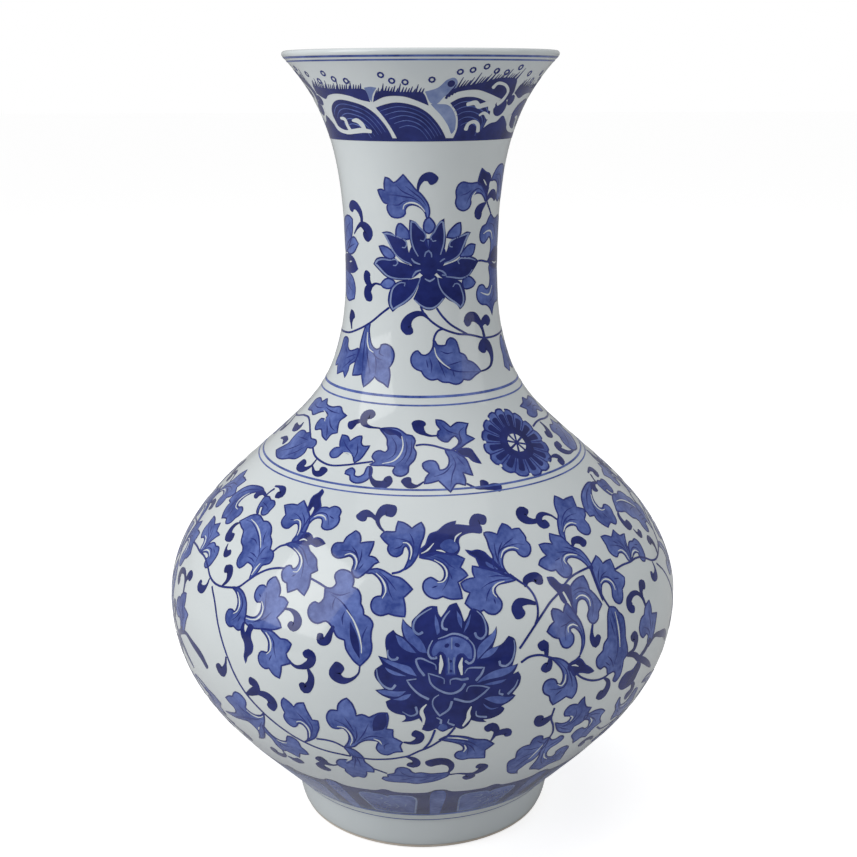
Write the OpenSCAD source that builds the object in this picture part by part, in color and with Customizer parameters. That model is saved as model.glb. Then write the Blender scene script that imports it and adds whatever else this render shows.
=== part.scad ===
// Bottle-shaped porcelain vase: a round belly, a waisted neck and a flared mouth on a low foot ring.
// It is thrown in sections that are luted together with slip, painted in cobalt and glazed.
// Millimetres, +Z up. The origin is the centre of the foot ring's resting face.

/* [Overall] */
// Height from the resting face to the top of the lip
vase_h = 380; // [350:5:410]
// Radius of the belly at its widest
belly_r = 127.6; // [118:0.2:136]
// Radius of the neck at its narrowest
neck_r = 36.8; // [33:0.2:42]
// Radius of the flared mouth, just under the lip
mouth_r = 64.4; // [58:0.2:70]
// Radius at the top of the foot ring
foot_r = 66.8; // [63:0.2:72]
// Height of the foot ring's outer side
foot_h = 17.8; // [16:0.2:20]

/* [Walls] */
// Wall of the lower belly, glaze included
lower_wall = 6.2; // [5.8:0.1:7]
// Wall at the widest part of the belly, glaze included
belly_wall = 5.4; // [5:0.1:6]
// Wall of the neck, glaze included
neck_wall = 5; // [4.6:0.1:5.6]
// Thickness of the lip, glaze included
lip_wall = 3.4; // [3:0.1:4]
// Thickness of the base, glaze included
base_t = 8; // [6:0.5:10]
// Thickness of the glaze
glaze_t = 0.4; // [0.3:0.05:0.6]

/* [Foot] */
// Radius of the recess inside the foot ring
recess_r = 56; // [54:0.5:58]
// Depth of the recess under the base
recess_h = 12; // [11:0.5:13]
// Height of the bare rim that the glaze stops above
bare_h = 2.5; // [2:0.1:4]

/* [Joints] */
// Thickness of the slip between two sections
slip_t = 0.8; // [0.5:0.1:1.2]
// Height of the step in each luted joint
step_h = 3; // [2:0.5:4]

/* [Painted lines] */
// Width of a broad painted line
broad_line = 1.5; // [1:0.1:2]
// Width of a fine painted line
fine_line = 0.9; // [0.6:0.1:1.2]
// Depth of the cobalt under the glaze
cobalt_t = 0.15; // [0.1:0.05:0.2]

/* [Hidden] */
$fn = 180;

// Heights of the widest and narrowest places, as shares of the whole height
belly_z = 0.308 * vase_h;
neck_z = 0.737 * vase_h;
// Where the shoulder's curve turns from the belly's bulge to the neck's hollow
turn = [0.584 * belly_r, 0.513 * vase_h];
// Angles of the side from the vertical, leaning outwards as it rises
toe_lean = 65;
foot_lean = 6;
under_lean = 42;
turn_lean = -47;
mouth_lean = 43;
// The side stops just under the top, and the rounded lip closes it
lip_r = lip_wall / 2;
side_top = vase_h - lip_r * (1 + sin(mouth_lean));
// Points along each curve, and along the lip
steps = 18;
lip_steps = 12;

// Heights of the luted joints
foot_joint = recess_h - 2;
belly_joint = belly_z;
shoulder_joint = 0.498 * vase_h;
neck_joint = 0.588 * vase_h;
mouth_joint = 0.897 * vase_h;

// Small details of the foot: how far the toe turns in, the bare rim's bevels and its overlap
toe_inset = 5.4;
toe_reach = 3;
foot_reach = 12;
recess_bevel = 1.2;
toe_bevel = 1.4;
toe_bevel_h = 1;
bare_overlap = 0.6;

// How strongly the inside bends from the floor into the wall, and how high the bend reaches
floor_reach = 14;
wall_reach = 9;
bend_rise = 18;
mouth_thinning = 0.2;

// Each painted line: its height and its width
lines = [[foot_h + 1, fine_line], [foot_h + 6.8, broad_line],
    [0.4963 * vase_h, fine_line], [0.5008 * vase_h, broad_line],
    [0.5839 * vase_h, fine_line], [0.5934 * vase_h, broad_line],
    [side_top - 2.8, fine_line], [side_top - 0.8, broad_line]];

// A point at share t along a curve that leaves a at angle lean_a and reaches b at angle lean_b
function aim(lean) = [sin(lean), cos(lean)];
function along(a, lean_a, reach_a, b, lean_b, reach_b, t) =
    pow(1 - t, 3) * a + 3 * t * pow(1 - t, 2) * (a + reach_a * aim(lean_a))
    + 3 * t * t * (1 - t) * (b - reach_b * aim(lean_b)) + pow(t, 3) * b;
function curve(a, lean_a, reach_a, b, lean_b, reach_b) =
    [for (i = [1:steps]) along(a, lean_a, reach_a, b, lean_b, reach_b, i / steps)];

// The glazed outside, from the toe of the foot to just under the lip, as [radius, height]
toe = [foot_r - toe_inset, 0];
foot_top = [foot_r, foot_h];
widest = [belly_r, belly_z];
narrowest = [neck_r, neck_z];
under_lip = [mouth_r, side_top];
outside = concat([toe],
    curve(toe, toe_lean, toe_reach, foot_top, foot_lean, foot_reach),
    curve(foot_top, under_lean, 0.38 * belly_r, widest, 0, 0.11 * vase_h),
    curve(widest, 0, 0.094 * vase_h, turn, turn_lean, 0.068 * vase_h),
    curve(turn, turn_lean, 0.069 * vase_h, narrowest, 0, 0.142 * vase_h),
    curve(narrowest, 0, 0.145 * vase_h, under_lip, mouth_lean, 0.073 * vase_h));
last = len(outside) - 1;

// Direction along the side and straight out of it, at point i
function unit(v) = v / norm(v);
function rising(i) = i == last ? aim(mouth_lean) : unit(outside[i + 1] - outside[max(i - 1, 0)]);
function outward(i) = [rising(i)[1], -rising(i)[0]];

// The whole wall's thickness at a height, and surfaces at a depth below the outside or above the inside
function wall_at(z) = lookup(z, [[0, lower_wall], [foot_h, lower_wall], [belly_z, belly_wall],
    [neck_z, neck_wall], [mouth_joint, neck_wall - mouth_thinning], [side_top, lip_wall]]);
function below_outside(depth) = [for (i = [0:last]) outside[i] - depth * outward(i)];
function above_inside(rise) = [for (i = [0:last])
    outside[i] - (wall_at(outside[i][1]) - rise) * outward(i)];

// The inside runs flat over the base and curves up into the wall
floor_r = 0.36 * belly_r;
floor_z = recess_h + base_t;
bend_top = foot_h + bend_rise;
function first_above(points, z) = min([for (i = [0:len(points) - 1]) if (points[i][1] > z) i]);
function part_of(points, from, to) = [for (i = [from:to]) points[i]];
function inside_with(rise, side, from) = concat([[0, floor_z - rise], [floor_r, floor_z - rise]],
    curve([floor_r, floor_z - rise], 90, floor_reach, side[from], under_lean, wall_reach),
    part_of(side, from + 1, last));
function inside_at(rise) = inside_with(rise, above_inside(rise),
    first_above(above_inside(rise), bend_top));

// The lip is a half circle around its centre. An arc of it leaves out both its ends
lip_centre = outside[last] - lip_r * outward(last);
function on_lip(radius, a) = lip_centre + radius * (cos(a) * outward(last) + sin(a) * rising(last));
function lip_arc(radius, a1, a2) =
    [for (i = [1:lip_steps - 1]) on_lip(radius, a1 + (a2 - a1) * i / lip_steps)];

body_out = below_outside(glaze_t);
body_in = inside_at(glaze_t);
glazed_in = inside_at(0);

function reversed(points) = [for (i = [len(points) - 1:-1:0]) points[i]];
function between(points, low, high) = [for (p = points) if (p[1] > low && p[1] < high) p];
function by_height(points) = [for (p = points) [p[1], p[0]]];
out_table = by_height(body_out);
in_table = by_height(between(body_in, floor_z, vase_h));
glaze_table = by_height(outside);
function on_body_out(z) = [lookup(z, out_table), z];
function on_body_in(z) = [lookup(z, in_table), z];
function on_outside(z) = [lookup(z, glaze_table), z];

// A stepped joint: the lower section's top face and the upper section's bottom face, from outside in
function step_r(z) = (on_body_out(z)[0] + on_body_in(z + step_h)[0]) / 2;
function joint_top(z) = [on_body_out(z), [step_r(z), z], [step_r(z), z + step_h],
    on_body_in(z + step_h)];
function joint_bottom(z) = [on_body_out(z + slip_t), [step_r(z) + slip_t, z + slip_t],
    [step_r(z) + slip_t, z + step_h + slip_t], on_body_in(z + step_h + slip_t)];

// The foot ring's joint has the same step, and slip lines the side of the recess in the base too
foot_step_r = (foot_r + recess_r) / 2;
foot_joint_top = [on_body_out(foot_joint), [foot_step_r, foot_joint],
    [foot_step_r, foot_joint + step_h], [recess_r, foot_joint + step_h], [recess_r, recess_h]];
foot_joint_bottom = [on_body_out(foot_joint + slip_t), [foot_step_r + slip_t, foot_joint + slip_t],
    [foot_step_r + slip_t, foot_joint + step_h + slip_t],
    [recess_r - slip_t, foot_joint + step_h + slip_t], [recess_r - slip_t, recess_h]];

// The back of painted line i, and the glaze's own back, which steps out over each line
function line_low(i) = lines[i][0] - lines[i][1] / 2;
function line_high(i) = lines[i][0] + lines[i][1] / 2;
function line_back(i) = concat([on_body_out(line_low(i))],
    between(body_out, line_low(i), line_high(i)), [on_body_out(line_high(i))]);
function thickened(points) = [for (p = points) p + [cobalt_t, 0]];
function stepped_over(i) = concat(
    between(body_out, i == 0 ? bare_h : line_high(i - 1), line_low(i)),
    [on_body_out(line_low(i))], thickened(line_back(i)), [on_body_out(line_high(i))]);
under_glaze = concat([on_body_out(bare_h)],
    [for (i = [0:len(lines) - 1]) each stepped_over(i)],
    between(body_out, line_high(len(lines) - 1), vase_h));

module turned(points) rotate_extrude() polygon(points);

// A thrown section between two joints
module section(low, high) turned(concat(
    reversed(joint_bottom(low)), between(body_out, low + slip_t, high),
    joint_top(high), reversed(between(body_in, low + step_h + slip_t, high + step_h))));

module slip_ring(z) turned(concat(joint_top(z), reversed(joint_bottom(z))));

module foot_ring() color("antiquewhite") turned(concat(
    [[recess_r + recess_bevel, 0], [toe[0], 0], [toe[0] + toe_bevel, toe_bevel_h]],
    between(body_out, bare_h - bare_overlap, foot_joint), foot_joint_top, [[recess_r, recess_bevel]]));

module lower_belly() color("ivory") turned(concat(
    [[0, recess_h]], reversed(foot_joint_bottom),
    between(body_out, foot_joint + slip_t, belly_joint), joint_top(belly_joint),
    reversed(between(body_in, floor_z - 2 * glaze_t, belly_joint + step_h))));

module upper_belly() color("ivory") section(belly_joint, shoulder_joint);
module shoulder() color("linen") section(shoulder_joint, neck_joint);
module neck() color("ivory") section(neck_joint, mouth_joint);

module mouth() color("linen") turned(concat(
    reversed(joint_bottom(mouth_joint)), between(body_out, mouth_joint + slip_t, vase_h),
    lip_arc(lip_r - glaze_t, 0, 180),
    reversed(between(body_in, mouth_joint + step_h + slip_t, vase_h))));

module foot_slip() color("wheat") turned(concat(foot_joint_top, reversed(foot_joint_bottom)));
module belly_slip() color("wheat") slip_ring(belly_joint);
module shoulder_slip() color("wheat") slip_ring(shoulder_joint);
module neck_slip() color("wheat") slip_ring(neck_joint);
module mouth_slip() color("wheat") slip_ring(mouth_joint);

// Every painted line is a thin band of cobalt on the body, under the glaze
module painted_lines() color("midnightblue") for (i = [0:len(lines) - 1])
    turned(concat(line_back(i), reversed(thickened(line_back(i)))));

module outer_glaze() color("aliceblue") turned(concat(
    [on_outside(bare_h)], between(outside, bare_h, vase_h),
    lip_arc(lip_r, 0, 90), [on_lip(lip_r, 90), on_lip(lip_r - glaze_t, 90)],
    reversed(lip_arc(lip_r - glaze_t, 0, 90)), reversed(under_glaze)));

module inner_glaze() color("azure") turned(concat(
    glazed_in, reversed(lip_arc(lip_r, 90, 180)),
    [on_lip(lip_r, 90), on_lip(lip_r - glaze_t, 90)],
    lip_arc(lip_r - glaze_t, 90, 180), reversed(body_in)));

module base_glaze() color("azure") turned([
    [0, recess_h - glaze_t], [recess_r - glaze_t, recess_h - glaze_t],
    [recess_r - glaze_t, bare_h], [recess_r, bare_h], [recess_r, recess_h], [0, recess_h]]);

foot_ring();
lower_belly();
upper_belly();
shoulder();
neck();
mouth();
foot_slip();
belly_slip();
shoulder_slip();
neck_slip();
mouth_slip();
painted_lines();
outer_glaze();
inner_glaze();
base_glaze();
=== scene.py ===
# Porcelain vase: cobalt brushwork and clear glaze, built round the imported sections
import math
import bpy
import numpy as np
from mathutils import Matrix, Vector
from mathutils.geometry import delaunay_2d_cdt


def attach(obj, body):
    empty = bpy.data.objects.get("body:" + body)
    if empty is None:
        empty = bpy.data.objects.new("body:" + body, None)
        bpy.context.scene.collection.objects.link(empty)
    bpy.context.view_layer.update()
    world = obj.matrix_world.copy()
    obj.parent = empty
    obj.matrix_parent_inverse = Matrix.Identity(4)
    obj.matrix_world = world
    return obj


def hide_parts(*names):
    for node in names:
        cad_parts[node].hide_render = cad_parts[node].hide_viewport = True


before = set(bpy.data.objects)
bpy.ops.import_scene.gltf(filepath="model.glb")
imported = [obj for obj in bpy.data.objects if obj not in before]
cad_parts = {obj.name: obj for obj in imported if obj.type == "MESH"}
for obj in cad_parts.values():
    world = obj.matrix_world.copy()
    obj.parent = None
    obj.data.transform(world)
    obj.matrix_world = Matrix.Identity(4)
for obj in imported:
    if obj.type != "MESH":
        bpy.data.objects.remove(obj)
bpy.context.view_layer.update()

mm = 0.001


def deselectAll():
    if bpy.context.mode != "OBJECT":
        bpy.ops.object.mode_set(mode="OBJECT")
    bpy.ops.object.select_all(action="DESELECT")


# The vase's side, in millimetres and degrees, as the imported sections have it
side = {
    "height": 380.0, "bellyR": 127.6, "neckR": 36.8, "mouthR": 64.4, "footR": 66.8, "footH": 17.8,
    "toeIn": 5.4, "bellyAt": 0.308, "turnR": 0.584, "turnAt": 0.513, "neckAt": 0.737,
    # Lean outwards as the side rises
    "toeLean": 65, "footLean": 6, "underLean": 42, "turnLean": -47, "mouthLean": 43,
    # How far a bend keeps to the lean at its end: toe and foot in millimetres, under as a share of the
    # belly's radius, and the rest as shares of the height
    "toeReach": 3, "footReach": 12, "underReach": 0.38, "bellyLow": 0.11, "bellyHigh": 0.094,
    "turnLow": 0.068, "turnHigh": 0.069, "neckLow": 0.142, "neckHigh": 0.145, "mouthReach": 0.073,
    "lipWall": 3.4, "bareRim": 2.5, "recessH": 12.0, "baseT": 8.0,
    "inset": 0.2,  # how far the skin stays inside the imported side, which leaves room for the paint
    "perCurve": 24, "perWalk": 120,
}


def aim(lean):
    return Vector((math.sin(math.radians(lean)), math.cos(math.radians(lean))))


def bend(a, leanA, reachA, b, leanB, reachB, count):
    a, b = Vector(a), Vector(b)
    handleA, handleB = a + reachA * aim(leanA), b - reachB * aim(leanB)
    points = []
    for i in range(1, count + 1):
        t = i / count
        points.append((1 - t) ** 3 * a + 3 * t * (1 - t) ** 2 * handleA
                      + 3 * t * t * (1 - t) * handleB + t ** 3 * b)
    return points


def outline(count):
    v = side
    high = v["height"]
    lipR = v["lipWall"] / 2
    toe = (v["footR"] - v["toeIn"], 0)
    footTop = (v["footR"], v["footH"])
    widest = (v["bellyR"], v["bellyAt"] * high)
    turn = (v["turnR"] * v["bellyR"], v["turnAt"] * high)
    narrowest = (v["neckR"], v["neckAt"] * high)
    underLip = (v["mouthR"], high - lipR * (1 + math.sin(math.radians(v["mouthLean"]))))
    underReach, turnLean, mouthReach = v["underReach"] * v["bellyR"], v["turnLean"], v["mouthReach"] * high
    points = [Vector(toe)]
    points += bend(toe, v["toeLean"], v["toeReach"], footTop, v["footLean"], v["footReach"], count)
    points += bend(footTop, v["underLean"], underReach, widest, 0, v["bellyLow"] * high, count)
    points += bend(widest, 0, v["bellyHigh"] * high, turn, turnLean, v["turnLow"] * high, count)
    points += bend(turn, turnLean, v["turnHigh"] * high, narrowest, 0, v["neckLow"] * high, count)
    points += bend(narrowest, 0, v["neckHigh"] * high, underLip, v["mouthLean"], mouthReach, count)
    return points


# Lookup of radius, height and lean by the distance walked up the side from the toe
walk = np.array([tuple(p) for p in outline(side["perWalk"])])
stride = np.hypot(*np.diff(walk, axis=0).T)
walked = np.concatenate([[0], np.cumsum(stride)])
rising = np.gradient(walk, walked, axis=0)
rising /= np.hypot(rising[:, 0], rising[:, 1])[:, None]


def mmPerDegree(s):
    return float(np.interp(s, walked, walk[:, 0])) * math.pi / 180


# Brush: shapes are drawn as (degrees round from the front, millimetres up the side)
brush = {
    "fillStep": 2.0, "edgeStep": 1.0, "lineStep": 1.2, "blobStep": 0.7,  # millimetres between points
    "ringStep": 2,  # degrees between points
    "outline": 0.75, "vein": 0.7, "stem": 1.0, "light": 0.8, "broad": 1.5,  # widths in millimetres
    "fuller": 1.12,  # commas are laid a little wider than drawn
    "rise": {"pale": 0.05, "wash": 0.06, "deep": 0.085, "line": 0.11, "white": 0.14, "over": 0.17},
    "capReach": 0.6,  # how far a stroke reaches past its last point, as a share of half its width
    "capSteps": 4, "capTip": 0.02, "finest": 0.03, "nearest": 0.01, "weld": 0.0001,
    "sunk": 0.05,  # the underside lies inside the glaze
}


def apart(a, b):
    wide = mmPerDegree((a[1] + b[1]) / 2)
    return math.hypot((b[0] - a[0]) * wide, b[1] - a[1])


def threaded(points, closed, step):
    # A smooth line through the points; a third value of 1 keeps a point as a sharp corner
    n = len(points)
    corner = [len(p) > 2 and p[2] == 1 for p in points]
    flat = [Vector((p[0], p[1])) for p in points]
    line = []
    for i in range(n if closed else n - 1):
        b, c = flat[i], flat[(i + 1) % n]
        a = b - (c - b) if corner[i] or (not closed and i == 0) else flat[i - 1]
        last = not closed and i == n - 2
        d = c + (c - b) if corner[(i + 1) % n] or last else flat[(i + 2) % n]
        k1, k2, k3 = (max(apart(p, q), brush["nearest"]) ** 0.5 for p, q in ((a, b), (b, c), (c, d)))
        slopeB = ((b - a) / k1 - (c - a) / (k1 + k2) + (c - b) / k2) * k2
        slopeC = ((c - b) / k2 - (d - b) / (k2 + k3) + (d - c) / k3) * k2
        count = max(1, round(apart(b, c) / step))
        for j in range(count):
            t = j / count
            line.append((2 * t ** 3 - 3 * t * t + 1) * b + (t ** 3 - 2 * t * t + t) * slopeB
                        + (3 * t * t - 2 * t ** 3) * c + (t ** 3 - t * t) * slopeC)
    if not closed:
        line.append(flat[-1])
    return line


def ribbon(points, widths, closed=False):
    # Both edges of a stroke, with rounded ends
    line = threaded(points, closed, brush["lineStep"] if max(widths) < brush["broad"] else brush["blobStep"])
    n = len(line)
    far = [0]
    for a, b in zip(line, line[1:]):
        far.append(far[-1] + apart(a, b))
    whole = max(far[-1], brush["nearest"])
    left, right = [], []

    def addPair(p, wide, along, half):
        left.append((p.x - along.y * half / wide, p.y + along.x * half))
        right.append((p.x + along.y * half / wide, p.y - along.x * half))

    def addCap(p, wide, along, half, steps):
        for i in steps:
            angle = i * math.pi / (2 * brush["capSteps"])
            out = brush["capReach"] * half * math.sin(angle)
            spot = Vector((p.x + along.x * out / wide, p.y + along.y * out))
            addPair(spot, wide, along, max(half * math.cos(angle), brush["capTip"]))

    for i, p in enumerate(line):
        before = line[i - 1] if i > 0 or closed else p
        after = line[(i + 1) % n] if i < n - 1 or closed else p
        wide = mmPerDegree(p.y)
        along = Vector(((after.x - before.x) * wide, after.y - before.y))
        along = along.normalized() if along.length > 0 else Vector((1, 0))
        width = np.interp(far[i] / whole, np.linspace(0, 1, len(widths)), widths)
        half = max(width / 2, brush["finest"])
        if i == 0 and not closed:
            addCap(p, wide, along, half, range(-brush["capSteps"], 0))
        addPair(p, wide, along, half)
        if i == n - 1 and not closed:
            addCap(p, wide, along, half, range(1, brush["capSteps"] + 1))
    return left, right


# A paint layer gathers closed patches of colour and becomes one piece
def newLayer():
    return {"spots": [], "faces": []}


def addShell(layer, top, triangles, rim, rise, turns):
    # top: (degrees, mm) points; rim: the outer loops as lists of point numbers, counter-clockwise
    count = len(top)
    for turn in turns:
        start = len(layer["spots"])
        layer["spots"] += [(d + turn, s, rise) for d, s in top]
        layer["spots"] += [(d + turn, s, -brush["sunk"]) for d, s in top]
        for face in triangles:
            layer["faces"].append([start + i for i in face])
            layer["faces"].append([start + count + i for i in reversed(face)])
        for loop in rim:
            for a, b in zip(loop, loop[1:] + loop[:1]):
                layer["faces"].append([start + b, start + a, start + count + a, start + count + b])


def fillShape(layer, edge, rise, turns):
    line = threaded(edge, True, brush["edgeStep"])
    wide = mmPerDegree(sum(p.y for p in line) / len(line))
    flat = [Vector((p.x * wide, p.y)) for p in line]
    if sum(a.x * b.y - b.x * a.y for a, b in zip(flat, flat[1:] + flat[:1])) < 0:
        flat.reverse()
    step = brush["fillStep"]
    xs, ys = [p.x for p in flat], [p.y for p in flat]
    inner = []  # points inside the shape, which keep it on the round of the vase
    for row in range(int((max(ys) - min(ys)) / step) + 1):
        y = min(ys) + (row + 0.5) * step
        for column in range(int((max(xs) - min(xs)) / step) + 1):
            x = min(xs) + (column + 0.5 + 0.5 * (row % 2)) * step
            if all((x - p.x) ** 2 + (y - p.y) ** 2 > (0.5 * step) ** 2 for p in flat):
                inner.append(Vector((x, y)))
    edges = [(i, (i + 1) % len(flat)) for i in range(len(flat))]
    loop = list(range(len(flat)))
    verts, _, faces = delaunay_2d_cdt(flat + inner, edges, [loop], 1, brush["weld"])[:3]
    seen = {}
    for face in faces:
        for a, b in zip(face, face[1:] + face[:1]):
            seen[(a, b)] = face
    follow = {a: b for a, b in seen if (b, a) not in seen}
    rim = []
    while follow:
        first = next(iter(follow))
        loop = [first]
        while follow.get(loop[-1]) is not None:
            loop.append(follow.pop(loop[-1]))
            if loop[-1] == first:
                break
        rim.append(loop[:-1] if loop[-1] == first and len(loop) > 1 else loop)
    addShell(layer, [(v.x / wide, v.y) for v in verts], faces, rim, rise, turns)


def addRibbon(layer, left, right, closed, rise, turns, split=False):
    # A broad stroke has a middle row, which keeps it on the round of the vase
    n = len(left)
    middle = [((a[0] + b[0]) / 2, (a[1] + b[1]) / 2) for a, b in zip(left, right)]
    rows = [left, middle, right] if split else [left, right]
    faces = []
    for row in range(len(rows) - 1):
        for i in range(n if closed else n - 1):
            j = (i + 1) % n
            faces.append([row * n + i, (row + 1) * n + i, (row + 1) * n + j, row * n + j])
    last = (len(rows) - 1) * n
    upper, lower = list(range(n - 1, -1, -1)), list(range(last, last + n))
    if closed:
        rim = [upper, lower]
    elif split:
        rim = [lower + [2 * n - 1] + upper + [n]]
    else:
        rim = [lower + upper]
    addShell(layer, sum(rows, []), faces, rim, rise, turns)


def onSkin(spots):
    # Places and directions straight out of the glaze, in metres
    data = np.array(spots)
    turn, s = np.radians(data[:, 0]), data[:, 1]
    r, z = np.interp(s, walked, walk[:, 0]), np.interp(s, walked, walk[:, 1])
    up = np.interp(s, walked, rising[:, 0]), np.interp(s, walked, rising[:, 1])
    out = data[:, 2] - side["inset"]
    r, z = r + out * up[1], z - out * up[0]
    places = np.column_stack((r * np.sin(turn), -r * np.cos(turn), z)) * mm
    outward = np.column_stack((up[1] * np.sin(turn), -up[1] * np.cos(turn), -up[0]))
    return places, outward


def pieceFrom(name, layer, material, hidden=()):
    places, outward = onSkin(layer["spots"])
    mesh = bpy.data.meshes.new(name)
    mesh.from_pydata(places.tolist(), [], layer["faces"])
    mesh.update()
    mesh.polygons.foreach_set("use_smooth", [True] * len(mesh.polygons))
    mesh.normals_split_custom_set_from_vertices(outward.tolist())
    mesh.materials.append(material)
    obj = bpy.data.objects.new(name, mesh)
    bpy.context.scene.collection.objects.link(obj)
    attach(obj, "root")
    if hidden:
        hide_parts(*hidden)
    print(name, len(mesh.polygons), "faces")


# A stroke is given as points, with widths along it
def stroke(layer, points, widths, rise, turns, closed=False):
    left, right = ribbon(points, widths, closed)
    addRibbon(layer, left, right, closed, rise, turns, max(widths) > brush["broad"])


# Glaze coat: one skin up the outside, over the lip, down the inside and back beneath itself
coat = {
    "turns": 180, "lipPoints": 8, "thick": 0.16, "weld": 0.02,
    "heights": [0, 17.8, 117.04, 280.06, 340.86, 377.14], "walls": [6.2, 6.2, 5.4, 5.0, 4.8, 3.4],
    "insideBend": 36.0, "wallReach": 9, "bendPoints": 12,  # where the inner wall turns into the floor
    "floorR": 46.0, "floorReach": 14, "floorPoints": 6,
}


def wallAt(z):
    return float(np.interp(z, coat["heights"], coat["walls"]))


def coatOutline():
    points = outline(side["perCurve"])
    outward = []
    for i, p in enumerate(points):
        along = points[min(i + 1, len(points) - 1)] - points[max(i - 1, 0)]
        outward.append(Vector((along.y, -along.x)).normalized())
    lean = aim(side["mouthLean"])
    outward[-1] = Vector((lean.y, -lean.x))
    lipR = side["lipWall"] / 2
    centre = points[-1] - lipR * outward[-1]

    def lip(radius, a):
        return centre + radius * (math.cos(a) * outward[-1] + math.sin(a) * lean)

    def run(depth):
        count, steps = coat["lipPoints"], coat["floorPoints"]
        glazed = [(p, n) for p, n in zip(points, outward) if p.y > side["bareRim"]]
        out = [p - depth * n for p, n in glazed]
        arc = [lip(lipR - depth, math.pi * i / count) for i in range(1, count)]
        inner = [p - (wallAt(p.y) - depth) * n for p, n in reversed(glazed)]
        inner = [p for p in inner if p.y > coat["insideBend"]]
        floorZ = side["recessH"] + side["baseT"] - depth
        start = Vector((coat["floorR"], floorZ))
        low = bend(start, 90, coat["floorReach"], inner[-1], side["underLean"], coat["wallReach"],
                   coat["bendPoints"])[:-1]
        flat = [Vector((coat["floorR"] * i / steps, floorZ)) for i in range(steps, -1, -1)]
        return out + arc + inner + low[::-1] + flat

    skin = run(side["inset"])
    back = run(side["inset"] + coat["thick"])
    return skin + back[::-1]


def turnedPiece(name, outlinePoints, material, hidden):
    # A point is extruded along the outline and spun round the upright axis
    first = outlinePoints[0]
    deselectAll()
    bpy.ops.mesh.primitive_plane_add(size=mm, location=(first.x * mm, 0, first.y * mm))
    obj = bpy.context.active_object
    bpy.ops.object.transform_apply(location=True, rotation=True, scale=True)
    obj.name = name
    obj.data.name = name
    bpy.ops.object.mode_set(mode="EDIT")
    bpy.ops.mesh.select_mode(type="VERT")
    bpy.ops.mesh.select_all(action="SELECT")
    bpy.ops.mesh.merge(type="CENTER")
    for a, b in zip(outlinePoints, outlinePoints[1:]):
        step = (b - a) * mm
        bpy.ops.mesh.extrude_region_move(TRANSFORM_OT_translate={"value": (step.x, 0, step.y)})
    bpy.ops.mesh.select_all(action="SELECT")
    bpy.ops.mesh.spin(steps=coat["turns"], angle=2 * math.pi, center=(0, 0, 0), axis=(0, 0, 1))
    bpy.ops.mesh.select_all(action="SELECT")
    bpy.ops.mesh.remove_doubles(threshold=coat["weld"] * mm)
    bpy.ops.mesh.select_all(action="DESELECT")
    bpy.ops.mesh.select_non_manifold()
    bpy.ops.mesh.bridge_edge_loops()
    bpy.ops.mesh.select_all(action="SELECT")
    bpy.ops.mesh.normals_make_consistent(inside=False)
    bpy.ops.object.mode_set(mode="OBJECT")
    bpy.ops.object.shade_smooth()
    obj.data.materials.append(material)
    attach(obj, "root")
    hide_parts(*hidden)
    print(name, len(obj.data.polygons), "faces")


# Finishes: each is a mottled node material; "from" and "to" are where the mask turns dark and light
finish = {"roughness": 0.2, "coatRoughness": 0.06, "specular": 0.1, "coatWeight": 0.55, "bareRoughness": 0.85}
tints = {
    "clearGlaze": {"dark": (0.66, 0.71, 0.725, 1), "light": (0.71, 0.755, 0.765, 1),
                   "from": 0.3, "to": 0.7, "cloud": 18, "grain": 120, "share": 0.2},
    "cobaltPale": {"dark": (0.15, 0.21, 0.44, 1), "light": (0.27, 0.34, 0.56, 1),
                   "from": 0.38, "to": 0.62, "cloud": 90, "grain": 380, "share": 0.4},
    "cobaltWash": {"dark": (0.032, 0.062, 0.28, 1), "light": (0.135, 0.200, 0.53, 1),
                   "from": 0.37, "to": 0.65, "cloud": 75, "grain": 420, "share": 0.35},
    "cobaltDeep": {"dark": (0.004, 0.010, 0.11, 1), "light": (0.014, 0.026, 0.19, 1),
                   "from": 0.36, "to": 0.64, "cloud": 70, "grain": 300, "share": 0.4},
    "cobaltLine": {"dark": (0.008, 0.016, 0.15, 1), "light": (0.020, 0.036, 0.24, 1),
                   "from": 0.36, "to": 0.64, "cloud": 50, "grain": 260, "share": 0.4},
    "bareBiscuit": {"dark": (0.60, 0.53, 0.45, 1), "light": (0.72, 0.66, 0.58, 1),
                    "from": 0.3, "to": 0.7, "cloud": 60, "grain": 400, "share": 0.35, "bare": True},
    "lutingSlip": {"dark": (0.62, 0.57, 0.5, 1), "light": (0.70, 0.65, 0.58, 1),
                   "from": 0.3, "to": 0.7, "cloud": 60, "grain": 400, "share": 0.35, "bare": True},
}


def mottleGroup():
    # Soft uneven mask: broad clouds with finer brush grain in them
    group = bpy.data.node_groups.new("firedMottle", "ShaderNodeTree")
    for name in ("Cloud size", "Grain size", "Grain share"):
        group.interface.new_socket(name, in_out="INPUT", socket_type="NodeSocketFloat")
    group.interface.new_socket("Mask", in_out="OUTPUT", socket_type="NodeSocketFloat")
    nodes, links = group.nodes, group.links
    given = nodes.new("NodeGroupInput")
    result = nodes.new("NodeGroupOutput")
    place = nodes.new("ShaderNodeTexCoord")
    blend = nodes.new("ShaderNodeMix")
    for size, detail, half in (("Cloud size", 3, "A"), ("Grain size", 4, "B")):
        noise = nodes.new("ShaderNodeTexNoise")
        noise.inputs["Detail"].default_value = detail
        links.new(place.outputs["Object"], noise.inputs["Vector"])
        links.new(given.outputs[size], noise.inputs["Scale"])
        links.new(noise.outputs["Fac"], blend.inputs[half])
    links.new(given.outputs["Grain share"], blend.inputs["Factor"])
    links.new(blend.outputs["Result"], result.inputs["Mask"])
    return group


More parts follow.
